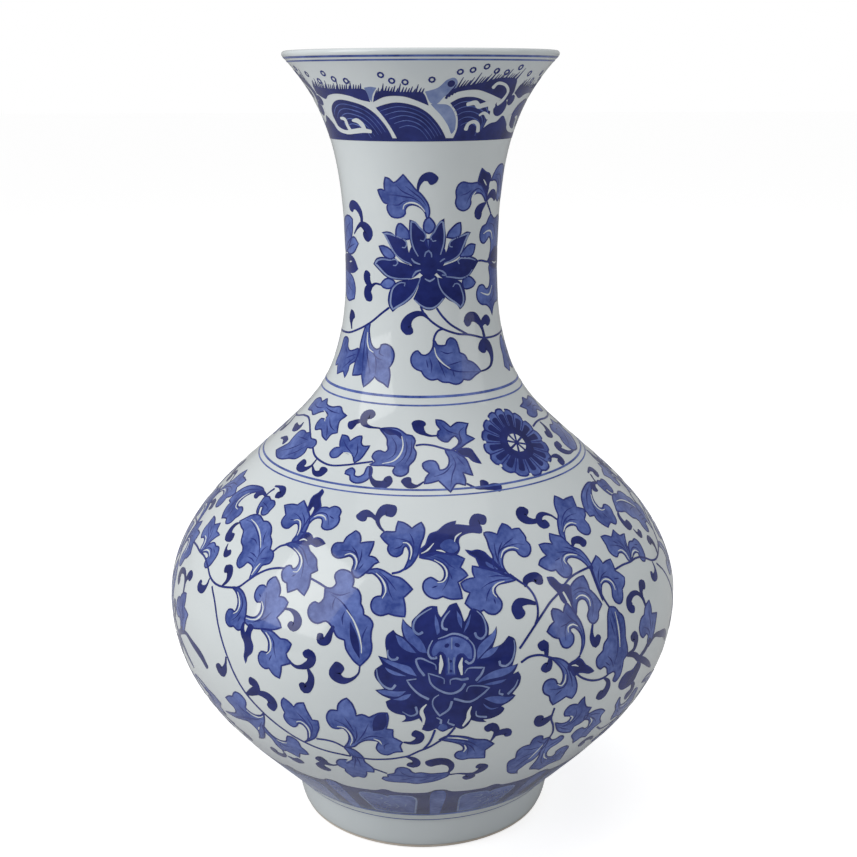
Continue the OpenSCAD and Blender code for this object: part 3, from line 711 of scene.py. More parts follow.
bellyLeaves += [
    # right of the middle, round the top
    {"edge": [(16.2, 206.6), (17.8, 206.7), (19.7, 205.2, 1), (20.6, 207.5), (22, 210.1, 1), (23.4, 208.7),
     (24.1, 206.5, 1), (25.2, 206.7), (26.3, 206.5, 1), (26.8, 204), (27.1, 201.7), (26.8, 200.2, 1),
     (27.4, 198), (27, 195), (25.8, 193), (24.5, 193), (23.6, 194.5), (23.3, 196.1), (22.3, 196.9),
     (21, 196.7), (19.9, 195.5), (19.1, 193), (18.9, 190), (19.3, 187.5), (20.2, 184.8, 1), (18.5, 186.2),
     (17, 188.5), (16.6, 191.5), (17, 195), (16.6, 199), (16.5, 203)],
     "lights": [[(24, 196.8), (22.9, 198), (21.3, 198), (19.8, 196.8), (18.9, 194)]],
     "veins": [[(25.9, 198.5), (24, 199.4), (21.5, 199), (19.6, 198), (18.3, 195), (18.2, 191),
     (18.8, 187.3)], [(23.7, 202.5), (21.5, 200.6), (19.9, 198.8)], [(20.5, 201.5), (19.4, 199),
     (18.3, 195.8)], [(18.2, 201.5), (17.9, 197), (17.9, 190.5)]]},
    {"edge": [(10.6, 199.3, 1), (11.8, 198.4), (13.5, 198.7), (15, 197.5), (16, 195), (16.8, 193.3),
     (17.8, 190.5), (19, 187.5), (16.5, 188.6), (14.5, 190.3), (13.3, 191.2, 1), (13, 193.5), (12.8, 195.2),
     (11.5, 197)], "tone": "deep",
     "patches": [[(14.9, 193), (16.3, 191.2), (17.5, 188.9), (16, 189.8), (15, 191.3)]]},
    {"edge": [(11.6, 191.6, 1), (12.8, 190.9), (14.3, 190), (16, 188.8), (18, 187.2), (19.5, 185.6),
     (20.9, 183, 1), (18.5, 182.6), (16.8, 182.2), (15.9, 180.8), (15.8, 178.5), (16.2, 176.9),
     (16.8, 174.5), (16.4, 171.5), (15, 169.6), (13.6, 170.2), (12.7, 171.9, 1), (11.5, 171.3),
     (10.2, 172.6), (8.9, 175.3, 1), (9.5, 177.5), (10.2, 179.8, 1), (9, 181), (8.4, 184.2, 1),
     (9.8, 185.7), (11.7, 186.3, 1), (11.4, 189)],
     "lights": [[(15.9, 176.8), (15.3, 178.6), (15.5, 181), (16.7, 182.7), (18.3, 183.3)]],
     "veins": [[(15.4, 174), (15.2, 176.6)], [(12.8, 181.2), (14.5, 183), (17, 184.1), (20, 184)],
     [(14.8, 186), (17, 186.1), (19.3, 185)], [(13.5, 175.5), (14, 178.5), (15.2, 181.8)]]},
    {"edge": [(34.4, 201.1, 1), (35.5, 200), (37.3, 198.3), (38.2, 195.5), (39, 192.5), (40.8, 190),
     (41.6, 187), (42, 183), (41.9, 180), (41, 180.5), (40.6, 182.5), (39.8, 185), (38.6, 187), (37.2, 188),
     (36, 187.7), (35.4, 186.3), (35.7, 184.8), (36, 183.3), (35.5, 181), (34.3, 179.7), (33, 180.2),
     (32.1, 182.3), (31.7, 184.2, 1), (30.5, 184.2), (29, 185.8), (27.8, 188, 1), (28.6, 190),
     (30.8, 191.5, 1), (30.2, 193.5), (29.9, 197, 1), (31.5, 197.2), (33.7, 196, 1), (33.7, 198.5)],
     "lights": [[(35.1, 185.5), (34.8, 187.4), (35.8, 189.1), (37.5, 189.2), (39.2, 188)]],
     "veins": [[(33.8, 183.3), (34, 186.3), (34.8, 189.2), (36.5, 190.2), (38.9, 189), (40.6, 186),
     (41.4, 181.5)], [(33.8, 191.8), (36.3, 191), (38.5, 189.8)], [(36.3, 193.5), (38.3, 191.7),
     (40.3, 188.5)], [(32.4, 188.2), (34.2, 189)]]},
    {"edge": [(38.4, 178.4, 1), (36.8, 178.3), (35, 177), (33.6, 174.8), (32.9, 172), (32.7, 168),
     (33.3, 163, 1), (33.9, 166.5), (34.6, 168.4), (35.6, 169), (36.5, 168.2), (36.9, 166), (36.8, 163.5),
     (36, 161), (36.3, 158.3), (37.3, 157), (38.7, 158.5), (39.2, 161.2, 1), (40.7, 163.9, 1), (40.3, 166),
     (39.5, 169.3), (38.6, 171.9, 1), (38.7, 175)],
     "lights": [[(34.2, 169.6), (35.5, 170.6), (36.8, 169.8), (37.6, 167.5), (37.4, 164.8)]],
     "veins": [[(37.2, 160), (38, 163.5), (38.3, 167.5), (37.3, 171), (35.5, 172.3), (33.6, 171)],
     [(38, 172.6), (36, 173.8), (34, 173.2)]]},
    {"edge": [(28.8, 181.8, 1), (30.3, 181), (31.1, 178.5), (31.8, 177.2), (33, 176.8), (33.8, 175.5),
     (33.4, 172.5), (32.9, 168), (32.4, 171.5), (31.8, 174.6), (31.2, 174.2), (31.5, 171), (31.7, 168.5),
     (31, 169.5), (30.5, 171.7), (30.4, 174), (29.8, 176), (29, 178.7)], "tone": "deep"},
    # leaves round the left of the flower
    {"edge": [(-46, 169.8, 1), (-43.5, 170.5), (-41.5, 168.8), (-40.1, 165.5), (-39.5, 161.5), (-39.3, 158),
     (-39.5, 154.8), (-40.7, 152.8), (-42.3, 153.8, 1), (-43.3, 152.9), (-44.6, 154), (-45.2, 157),
     (-44.8, 159.8), (-43.7, 160.6), (-42.8, 160), (-42.4, 163), (-42.9, 166), (-44.2, 168.5)],
     "lights": [[(-43, 159.1), (-42.1, 160.6), (-41.8, 163.3), (-42.5, 166.3), (-43.6, 168.7)]],
     "veins": [[(-43.2, 155.8), (-42.2, 157.5), (-41.3, 160.5), (-41, 164), (-42.2, 167.8), (-44.5, 169.6)],
     [(-41.2, 156.5), (-40.8, 159)]]},
    {"edge": [(-38, 139.2, 1), (-37.6, 142.5), (-36.5, 145), (-36.2, 148), (-37, 151), (-37.2, 153.5),
     (-36.8, 156.5), (-37.8, 157), (-38.3, 154), (-38.6, 152.5), (-39.2, 154), (-39.5, 157), (-39.9, 154.5),
     (-39.6, 151.5), (-38.5, 148.5), (-38.2, 145), (-38.4, 142)], "tone": "deep"},
    {"edge": [(-34.8, 156.6, 1), (-32, 157), (-29.6, 154.7, 1), (-28, 154.8), (-26.9, 153.4, 1),
     (-27.3, 151), (-27.9, 148.9, 1), (-27.5, 147), (-26.5, 145.3, 1), (-27.8, 144), (-28.9, 142.9, 1),
     (-29, 140), (-29.4, 136.8, 1), (-30.8, 137.8), (-31.9, 140.3, 1), (-32.9, 139.6), (-34.2, 141),
     (-34.6, 144.5), (-33.9, 147), (-32.9, 147.1), (-32.3, 147.3), (-32.2, 149.5), (-32.3, 152),
     (-33.2, 154.5)],
     "lights": [[(-32.5, 146.5), (-31.7, 148.5), (-31.7, 151.5), (-32.3, 154), (-33.3, 155.8)]],
     "veins": [[(-30.3, 146), (-30.8, 149.5), (-31.2, 153), (-32.9, 156.3)], [(-31.9, 143.8),
     (-31.3, 146.8)]]},
    {"edge": [(-28.8, 127.3, 1), (-27.7, 126), (-26.6, 123.8, 1), (-25.8, 126), (-24.2, 127.2, 1),
     (-23.8, 124), (-22.8, 118.7, 1), (-21.5, 118.8, 1), (-21.6, 114.5), (-22.3, 111), (-23, 108),
     (-24.8, 104.8), (-26.4, 102.6, 1), (-25.2, 105), (-24.7, 108), (-24.5, 112), (-25.2, 114.6),
     (-26.2, 115), (-26.8, 113.2), (-27.8, 111.8), (-29, 113.2), (-29.6, 116.5), (-29.1, 119.3, 1),
     (-29.6, 123), (-29.3, 126)],
     "lights": [[(-26.7, 115.5), (-25.6, 116.4), (-24.5, 114.8), (-24, 111.5), (-24.4, 107.3)]],
     "veins": [[(-28.4, 117), (-27, 116.9), (-25.3, 117.6), (-23.7, 114.5), (-23.6, 110), (-24.8, 105.5)],
     [(-26.2, 121.5), (-25.3, 119.4), (-24, 116)], [(-23.9, 119.5), (-23.1, 115), (-23.3, 110.5)]]},
    {"edge": [(-35, 115.2, 1), (-36, 113), (-38, 111.5), (-39.7, 112.3), (-40.5, 114), (-40, 116),
     (-39.8, 118.7), (-41, 121), (-42.5, 121.2), (-43.5, 119.3), (-44, 117.5, 1), (-45.5, 116.4),
     (-47.2, 113.9, 1), (-46.3, 112), (-45, 109.8), (-45.2, 107), (-47.5, 104), (-51, 101.5, 1),
     (-47, 101.8), (-44, 103.3), (-41.5, 104), (-39.8, 100), (-40.3, 95.5), (-41.5, 92, 1), (-39, 95),
     (-37.6, 100), (-36.6, 105.5), (-35.6, 110)],
     "lights": [[(-40.4, 112.5), (-39, 110.9), (-37, 110.9), (-35.6, 112.6)], [(-39.2, 101),
     (-38.4, 103.5)]],
     "veins": [[(-43, 106.5), (-40.5, 107.5), (-37.8, 109), (-35.6, 112.5)], [(-40, 98), (-38.6, 102.5),
     (-36.6, 108.5)], [(-46.5, 103), (-43, 105.5), (-39.5, 107)], [(-43.3, 114.5), (-41.8, 111.5),
     (-39.8, 109.6)]]},
    {"edge": [(-36.8, 106), (-35.8, 102), (-34.5, 99), (-33, 98.3), (-31.5, 99.4), (-31, 101.5),
     (-30.3, 104), (-29, 104), (-28, 102), (-27.9, 98, 1), (-27, 95.5), (-26.7, 93, 1), (-28, 91.8),
     (-29.3, 91.6, 1), (-30.4, 87, 1), (-32, 88.8), (-33.5, 90, 1), (-34.8, 89), (-35.8, 92.5), (-36, 97),
     (-37.3, 102)], "lights": [[(-34.4, 98), (-33, 97.2), (-31.6, 98)]],
     "veins": [[(-30.5, 95.5), (-33, 95), (-35, 98.5), (-36.6, 103)], [(-33.8, 92), (-34.6, 96)]]},
    {"edge": [(-16.9, 105, 1), (-14.8, 104), (-13.5, 101), (-13, 98.5), (-12.9, 95), (-12, 92.5),
     (-11.3, 89.5), (-11.5, 86.3, 1), (-13.2, 86.2, 1), (-13.6, 82.5), (-14.6, 79.2), (-15.8, 80),
     (-17.5, 77.8, 1), (-17.8, 79.8), (-18.6, 83), (-18.4, 86, 1), (-19.6, 87.8), (-20, 90.5), (-19, 94),
     (-17.3, 95), (-16.4, 94.6), (-15.5, 96.3), (-15.8, 99), (-16.2, 102)],
     "lights": [[(-17.2, 93.8), (-16.1, 96), (-15.6, 98.6)]],
     "veins": [[(-15.9, 88.5), (-15.3, 93), (-14.9, 97), (-15.6, 101.5)], [(-17.6, 91.2), (-16.2, 94)],
     [(-14.2, 91), (-14.2, 95.5), (-14.9, 100)]]},
    # leaves under the flower
    {"edge": [(3.2, 113, 1), (4.8, 115), (6.5, 114.7), (8.5, 113.8), (10.5, 111.8), (13, 110.5),
     (14.7, 107.3, 1), (13, 103.7, 1), (13.1, 101), (13.3, 97.8, 1), (11.5, 98.3), (9.8, 98.8, 1),
     (8.3, 98.3), (7, 99.8), (6.6, 102.3), (7.2, 104.5), (8.1, 104.9), (8.3, 106.8), (7.7, 109), (6, 111),
     (4.3, 112.2)],
     "lights": [[(8.4, 104), (8.8, 106.3), (8.4, 108.7)], [(4.9, 113.9), (7, 113.3), (9, 111.9)]],
     "veins": [[(9.2, 101), (9.3, 104.5), (8.9, 108.3), (6.5, 111.4)], [(10.9, 103.2), (10, 107),
     (8.3, 110.5)], [(11.3, 106.8), (9.7, 110), (7, 112.3), (4, 113.3)]]},
    {"edge": [(-9.9, 80, 1), (-9.4, 82.3), (-8.3, 82.7), (-8.3, 85), (-6.6, 87), (-6.3, 89.3), (-5.7, 92),
     (-4.4, 92.7), (-3.2, 91.3), (-2.6, 88.5), (-1.8, 87.5, 1), (-0.5, 88.1), (1.5, 87), (4, 87.3),
     (5.8, 87.5), (5.7, 84.5), (4.3, 81.5), (2.3, 78.8), (0, 77.2), (-1.9, 76.3), (-4, 77.4), (-7, 77.5),
     (-9, 78.2)],
     "veins": [[(-8, 84.3), (-5, 84.8), (-1, 83.5), (5, 85.5)], [(-5.2, 89), (-4.7, 86.8), (-3.2, 84.6)],
     [(0, 86.3), (1.7, 85)], [(-5.5, 80), (-2.5, 82.6)], [(-1, 79.3), (1.5, 82.8)], [(2.2, 81),
     (3.6, 84)]]},
    # leaves at the lower right
    {"edge": [(27.9, 104.3, 1), (26.2, 104), (26, 106), (25, 107), (23.8, 106), (23.4, 102, 1),
     (21.8, 101.5), (20.8, 99), (21, 93.3, 1), (19.7, 91.5), (19.6, 88.5), (20.2, 84), (20.8, 80.5),
     (22, 77.8), (24.1, 75.8, 1), (23.5, 79.3), (24.2, 82.5), (25, 85.3, 1), (26.2, 87.3), (26.9, 90.5),
     (27, 94), (27.8, 99)], "lights": [[(26.9, 99.5), (26, 95), (24.8, 89.5)]],
     "veins": [[(24.8, 104), (26.3, 101.3), (27.6, 100.5)], [(22.3, 99), (24.5, 98), (26.8, 98.4)],
     [(21.5, 90), (23.2, 93), (25.6, 95)], [(22, 83), (23.3, 87.5), (25.3, 92)]]},
    {"edge": [(27.9, 104.3, 1), (28.8, 101.5), (30, 101.3), (31, 102.6), (32, 101.4), (32.2, 99.3),
     (31, 96.5), (29.8, 95), (29.3, 92), (29.8, 88.5), (31, 85.5), (32.5, 85), (32.8, 87), (32.5, 89.3),
     (33.6, 91.2), (35.2, 91), (36.3, 88.5), (36.5, 84.5), (37, 80), (37.6, 75.6, 1), (35.5, 75.9),
     (33.6, 75.3, 1), (31.8, 71.8, 1), (30, 74.5), (28.6, 76), (27.6, 76.8), (27.3, 80), (27.5, 84),
     (27.6, 89), (27.1, 94), (27, 99)], "lights": [[(28.7, 91), (29.4, 87.3), (30.9, 84)]],
     "veins": [[(30.8, 79), (29.2, 84), (28.4, 90), (28, 98)], [(34.3, 88), (34.4, 84.8), (32.2, 83),
     (30, 84.6)], [(35.3, 79), (32.8, 81.2)], [(31, 99.5), (29.5, 97.8), (28.3, 96)]]},
]
bellyCommas += [
    ([(14, 209.3), (14, 211.5), (15.3, 213.7), (17, 213)], [2.6, 4, 5, 4.6]),
    ([(22.9, 179.7), (23.5, 182.3), (25, 183.2), (26.5, 182.2), (26.3, 180.7)], [1.2, 3, 3.6, 4.4, 4]),
    ([(24.2, 171.7), (22.5, 173), (20.6, 173), (19.9, 170.5), (20.3, 168)], [1.6, 2.2, 3.4, 4.8, 5]),
    ([(39, 206.8), (37.9, 209.3), (35.8, 211), (34, 210.2), (33.3, 208), (33.9, 205.9), (35.1, 206.3)], [1,
     1.1, 1.6, 2.4, 3, 4, 3.6]),
    ([(33.5, 208.6), (31.5, 208.5), (29.3, 210.2), (28.7, 213), (29.6, 214.7), (30.6, 213.8)], [2.4, 2.2,
     3.4, 4.8, 4.6, 3.4]),
    ([(39.3, 192.8), (40.5, 194.7), (42.5, 194), (43.1, 192.3)], [1.2, 2.8, 3.8, 4.4]),
    ([(-27, 145.5), (-25.5, 144), (-23.8, 144.8), (-22.4, 147), (-22.2, 149.3), (-23, 150.9), (-23.6, 150)],
     [1, 1.4, 2, 3, 3.6, 4, 3]),
    ([(-22.8, 143.8), (-22.2, 140.5), (-22.5, 137), (-23.7, 134.3), (-24.3, 136.3)], [1.4, 2.6, 3.2, 4.2,
     2.8]),
    ([(-12.2, 148.8), (-12.5, 145), (-14, 142), (-15.8, 141.3), (-17.2, 143.8), (-16.4, 147.3)], [0.7, 0.8,
     1.6, 3.2, 5, 4.8]),
    ([(-44, 138), (-44.3, 134.5), (-45, 131), (-46.3, 129.2), (-47, 131.3)], [1, 1.4, 3, 4.8, 4.2]),
    ([(-38.9, 122.8), (-37, 125.3), (-35.7, 127.5), (-36, 130.3), (-37, 131)], [1.2, 3, 4, 4, 3.8]),
    ([(-37.5, 124), (-35, 126), (-32.8, 125.5), (-31.8, 122.8), (-32.5, 120)], [1.5, 2, 3.4, 4.6, 4.2]),
    ([(-35, 88.5), (-35.2, 85), (-36.3, 82.7), (-38, 82), (-39, 84), (-38.4, 86)], [0.8, 1.2, 2.6, 4, 4,
     3.4]),
    ([(-34.5, 83.8), (-32.5, 81.7), (-30.9, 83.4)], [1.2, 4, 4]),
    ([(-19.8, 89), (-21.3, 87.5), (-22.8, 88), (-23.7, 90), (-24.2, 91.2)], [1, 1, 2.2, 4.6, 5]),
    ([(-23.3, 88), (-24.6, 86), (-25, 83), (-24, 81.7), (-23.6, 82.6)], [2, 2.6, 4.6, 4.6, 3.6]),
    ([(-3.9, 111.3), (-2.5, 110.9), (-1, 112.5), (-0.7, 115.3), (-1.7, 116.8)], [1, 1.8, 3, 3.6, 3.6]),
    ([(13.9, 109.5), (14.5, 112.5), (14.8, 115.5), (13.7, 118.2), (12.8, 117.2)], [0.8, 1.6, 2.6, 4, 3.6]),
    ([(14.5, 112.8), (16, 114.2), (17.3, 113.7), (17.4, 111.9)], [1.6, 3, 3.6, 3]),
    ([(-3.5, 101.3), (-2, 99.7), (-1.5, 97), (-2.3, 94.8), (-3, 95.6)], [1, 2.4, 3, 4.2, 3.2]),
    ([(5.6, 87), (6.2, 91), (5.8, 95), (4.2, 97.6), (2.2, 97), (1.3, 96)], [0.9, 2, 3, 4.4, 5, 4.8]),
    ([(5.7, 85.2), (8, 85.8), (10, 84.8), (11.8, 84.5), (13.4, 87.5), (13.6, 90.3), (12.4, 91.3)], [1.2, 1,
     1.6, 2, 3, 4, 3.6]),
    ([(10.7, 84.5), (11, 81.6), (10.2, 80.6)], [3, 4.6, 4.4]),
    ([(27, 118.5), (25.8, 116.2), (24.5, 115.6), (23.9, 117.3), (24, 118.7)], [1.2, 3, 4.2, 4.6, 4]),
]
bellyStems += [
    [(20, 186), (21.7, 182.5), (23.3, 179.5), (24.3, 175.5), (24.6, 171), (24.1, 166), (23.3, 163)],
    [(42.6, 161.5), (41.8, 165.5), (41.4, 170), (41.3, 175), (41.6, 181)],
    [(19.3, 154), (21.5, 159), (23.8, 163.8), (26, 168), (28, 171.3), (30.2, 173.8), (32.5, 177),
     (35, 179.5), (38, 180.7), (41.3, 181.2)],
    [(-52.6, 165.8), (-49.8, 160), (-47, 151), (-44.3, 141.5), (-41.5, 130.5), (-39.3, 123.8), (-35, 115),
     (-31, 108.5), (-27.5, 104), (-24, 101), (-21, 99.5), (-18, 98.9), (-14, 98.1), (-11, 98), (-7, 99.3),
     (-4.5, 101), (-3.2, 102), (-1, 105.5), (1, 108), (3, 111.5), (5, 115.5), (6.2, 119.5)],
    [(-22.7, 107.3), (-20.5, 107.7), (-18.5, 107), (-16.9, 105)],
    [(0, 106.8), (1.3, 111.5), (2.3, 118.5)],
    [(-11.5, 90), (-10, 88.3), (-8.5, 86.3)],
    [(27.2, 122), (26.9, 116.5), (27.8, 112), (28.3, 107), (27.9, 103.7)],
    [(37, 157.3), (36.2, 154)],
]
bellyLeaves += [
    {"edge": [(-21.7, 180, 1), (-20, 180.3), (-19.3, 182.5), (-20, 185), (-20, 187), (-19, 188.7),
     (-17.3, 188.6), (-15.9, 187), (-15.4, 184), (-15.5, 181.7, 1), (-14.2, 180.8), (-13.3, 178),
     (-13.1, 174.8, 1), (-12.4, 172.5), (-12.2, 170.3, 1), (-10.8, 168.8), (-10.1, 166.5), (-10.3, 163.5),
     (-10.3, 160.5), (-10, 156.5), (-10.4, 153), (-11.3, 150.5), (-12.2, 148.4, 1), (-13.4, 150.3),
     (-14.5, 153, 1), (-15.2, 155.3), (-15.6, 158.8, 1), (-17.2, 159.8), (-18.4, 163.6, 1), (-20, 165.8),
     (-21.7, 164.3), (-23.2, 165), (-24.3, 168), (-24.2, 171.5), (-23.2, 173.2), (-22.3, 172.7),
     (-21.4, 175), (-21.5, 178)],
     "lights": [[(-15.9, 171.5), (-14.2, 167.5), (-12.9, 162.5), (-12.1, 157), (-12, 154)]],
     "darks": [[(-14.9, 167, 1), (-13.3, 162), (-12.5, 157), (-12.3, 151.5, 1), (-13.8, 156),
     (-14.5, 160)]],
     "veins": [[(-20.8, 178.6), (-18, 177.5), (-15.7, 179.3)], [(-18.8, 176.7), (-19.1, 173.5),
     (-18.9, 171)], [(-16.2, 171), (-16.6, 168), (-16.3, 165)], [(-20.3, 177.7), (-17.5, 175), (-15, 170),
     (-13.7, 165.5)], [(-11.2, 165.5), (-12, 161), (-12.1, 156.5)]]},
    {"edge": [(-14.9, 133, 1), (-14, 131), (-13.3, 127), (-13.2, 124.6, 1), (-12, 125.6), (-10.6, 124.4, 1),
     (-8.5, 127), (-7, 127.3, 1), (-6.8, 125), (-7.3, 118.8, 1), (-6, 118.5, 1), (-6.1, 115.5),
     (-6, 114, 1), (-4.2, 111.3, 1), (-4.7, 109), (-4.3, 105, 1), (-6, 104.4), (-7.5, 102.2), (-8.8, 102.8),
     (-9.7, 106), (-9.4, 109), (-9.1, 110.8), (-10.3, 111.5), (-11.8, 111), (-13.2, 109), (-14.5, 106),
     (-16.8, 104.6, 1), (-15.7, 108), (-15.2, 111.5), (-15.3, 114.5), (-16.3, 117), (-17.3, 116.2),
     (-18.5, 116.3), (-19.3, 119), (-19.4, 122.5), (-18.5, 125.8), (-17, 126.2, 1), (-16.7, 129.5),
     (-15.7, 132)],
     "lights": [[(-17.4, 117.4), (-16, 117.4), (-14.9, 114.5), (-14.6, 110.5), (-15.3, 106.6)],
     [(-10, 112.5), (-8.9, 111.4), (-8.5, 109.5)]],
     "darks": [[(-7.2, 127, 1), (-7.1, 123), (-7.9, 118.5), (-10, 117.2, 1), (-9.9, 122), (-9, 126)]],
     "veins": [[(-17.8, 121), (-15.9, 119), (-14.4, 114.5), (-14.1, 110), (-15.6, 106)], [(-15.6, 123),
     (-14.7, 119.5), (-13.9, 115.5)], [(-13.5, 118.5), (-13.5, 113), (-14.4, 108)], [(-10.8, 121),
     (-12, 115), (-13.7, 109.3)], [(-7.7, 113.4), (-10.5, 113.9), (-12.9, 110.6)], [(-8, 106.3),
     (-8, 108.7), (-6.9, 110.5)]]},
    {"edge": [(28, 168, 1), (29.3, 167), (30.2, 165.3, 1), (30.9, 167.7), (31.6, 169.3, 1), (32.4, 166.5),
     (33.2, 163), (34, 159), (34.3, 154), (34, 149.5), (32.6, 144.6, 1), (33.4, 149.5), (33.5, 153.5),
     (32.9, 156.3), (31.9, 158.1), (31, 157.5), (31.1, 156.3), (31.6, 154.8), (31.3, 151.5), (30, 149.9),
     (28.7, 151), (28.1, 154.9, 1), (27, 155.8), (25.6, 158.8, 1), (26.5, 161), (27.6, 162.3, 1),
     (27.4, 164.5), (27.5, 167)],
     "lights": [[(30.5, 156.5), (30.6, 158.7), (31.9, 159.4), (33, 158)]],
     "veins": [[(29.6, 153.3), (29.7, 157), (30.5, 160.2), (32.3, 160.7), (33.6, 156.5), (34, 151)],
     [(28.8, 159.5), (30.6, 160.3)], [(30.8, 165), (31.7, 162), (32.8, 160)]]},
    {"edge": [(36.4, 135.4, 1), (35.2, 138), (34, 140), (33.4, 142), (32.6, 143.6), (31.5, 143.5),
     (30, 142.3), (29.7, 140.5), (30.5, 139), (31.3, 136.2), (32.5, 137.2), (33.7, 136.5), (35, 135.4)],
     "tone": "deep", "lights": [[(30.6, 141.5), (31.5, 141.2), (32.2, 140.3)]]},
    {"edge": [(25.8, 147.4, 1), (27.8, 146), (29.3, 143.8), (30.3, 141), (31, 138), (31.8, 134),
     (32.2, 130.5), (32, 127), (31.2, 124.9, 1), (29.7, 126.9, 1), (28, 125.3), (26.7, 124.2, 1),
     (25.9, 127), (25.6, 129.3), (24.5, 131), (24, 134), (24.5, 136.8), (25.8, 137.6), (26.9, 136.5),
     (27.3, 134.6), (28.1, 134), (28.5, 135.5), (28.6, 138), (28.2, 141), (27, 144.5)],
     "lights": [[(27.4, 134.2), (28.3, 133.1), (29, 134.6), (29.2, 138)]],
     "veins": [[(25.5, 132.8), (27, 132), (28.9, 132.2), (29.7, 135.5), (29.3, 140), (27.5, 145)],
     [(27, 129), (28.5, 131)], [(31, 131), (30.6, 135.5), (29.6, 141)]]},
    {"edge": [(42.6, 161.7, 1), (44.3, 160.3), (45, 157.8), (46.1, 155), (46.2, 150), (46, 145),
     (46.6, 140), (46.6, 136.5), (45.5, 134.8), (45.3, 131), (44.8, 127), (43.6, 125), (42.6, 126.5),
     (43, 129.5), (42.5, 131), (40.5, 131.2), (40.2, 134), (39.3, 135.8), (38.3, 135.2), (37.2, 137.5),
     (37.1, 141), (38.9, 143.7, 1), (39.3, 146.5), (40.5, 148.5, 1), (40.8, 152), (41.6, 158.5)],
     "veins": [[(42.8, 160.3), (43.2, 155), (43.4, 148), (43.2, 140), (42, 133.5)], [(42, 157.5),
     (42.2, 153), (42.7, 148)], [(44.5, 156.5), (44.7, 150), (44.3, 143)], [(40.2, 140.3), (41.5, 137),
     (42, 133.8)], [(39.6, 137.7), (41, 135)], [(44.6, 130), (44.3, 133.5)]],
     "lights": [[(43.9, 158.5), (44, 151), (44, 142)]]},
    {"edge": [(34.7, 123.5, 1), (35, 120.5), (35.9, 117), (37.5, 115.4, 1), (37, 113), (37.2, 110.5),
     (36, 107.8), (34, 106.5, 1), (33.6, 103, 1), (31.5, 104.5), (29.5, 107.5), (28.2, 113.2, 1),
     (30, 111.4), (31.5, 111.5), (32.1, 113.5), (31.6, 115), (30.3, 115.8), (30, 118.5), (31, 121),
     (32.3, 121), (33.2, 120.2, 1), (33.9, 122.2)],
     "lights": [[(31.8, 114.8), (32.6, 113.5), (32.2, 111.3)]],
     "veins": [[(32.8, 118.5), (33.4, 115), (32.8, 111.5), (31, 109.6), (28.9, 111)], [(35, 116),
     (34.3, 112.5), (32.5, 109.5), (30, 109)], [(33, 105.5), (31, 107.5), (29.2, 110)]]},
    {"edge": [(36.3, 111.2, 1), (39, 112.3), (41.5, 111), (43, 108.5, 1), (42.2, 106.5), (42.7, 103),
     (43.8, 100.3, 1), (41.8, 97.8), (40.8, 92.5, 1), (39, 94), (37, 91.5, 1), (36.2, 95), (34.7, 99.8),
     (35.5, 102.5), (37, 103), (38.2, 101.2), (39, 101.7), (38.8, 104.5), (38, 107.5), (36.3, 109.3)],
     "lights": [[(38.4, 108.3), (39.4, 105.5), (39.3, 102.5)]],
     "veins": [[(41.3, 103), (39.9, 106.5), (37.3, 110.4)], [(38.5, 97), (39.7, 101.5), (39.8, 105.5)],
     [(41.5, 108.3), (39.5, 109.9), (37, 110.9)]]},
]
bellyCommas += [
    ([(24.9, 149), (24.9, 151.5), (24.5, 153.6), (23.9, 152.8)], [2, 2.2, 4, 4]),
    ([(25.6, 147.5), (25.5, 145), (24.7, 143.2), (24.3, 144)], [1.4, 2.4, 4.2, 3.8]),
    ([(39.5, 130), (41, 127), (41.1, 123.5), (39.9, 120.6), (38.9, 121.5)], [0.9, 2, 3.4, 4.8, 4.2]),
    ([(37, 157), (36.4, 154), (36.2, 151), (37, 148.5), (38, 150.6)], [0.8, 1.4, 2.6, 4.2, 2.8]),
    ([(46.6, 136.4), (49.1, 137.3), (49.8, 140.5), (49.2, 143.8), (48.5, 143)], [1.2, 1.6, 2.6, 4, 3.8]),
    ([(50.5, 119), (51.8, 115.5), (51.8, 112.5), (50.5, 110.5)], [1.2, 2.6, 4, 5]),
]
bellyStems += [
    [(32.7, 144.8), (31.5, 143.3), (29.8, 142.3)],
    [(19.4, 147.8), (21, 149.5), (23.5, 149.5), (26, 147.2)],
    [(31.8, 137), (33.5, 133.8), (36.5, 130.7), (39.3, 130), (41, 131)],
]

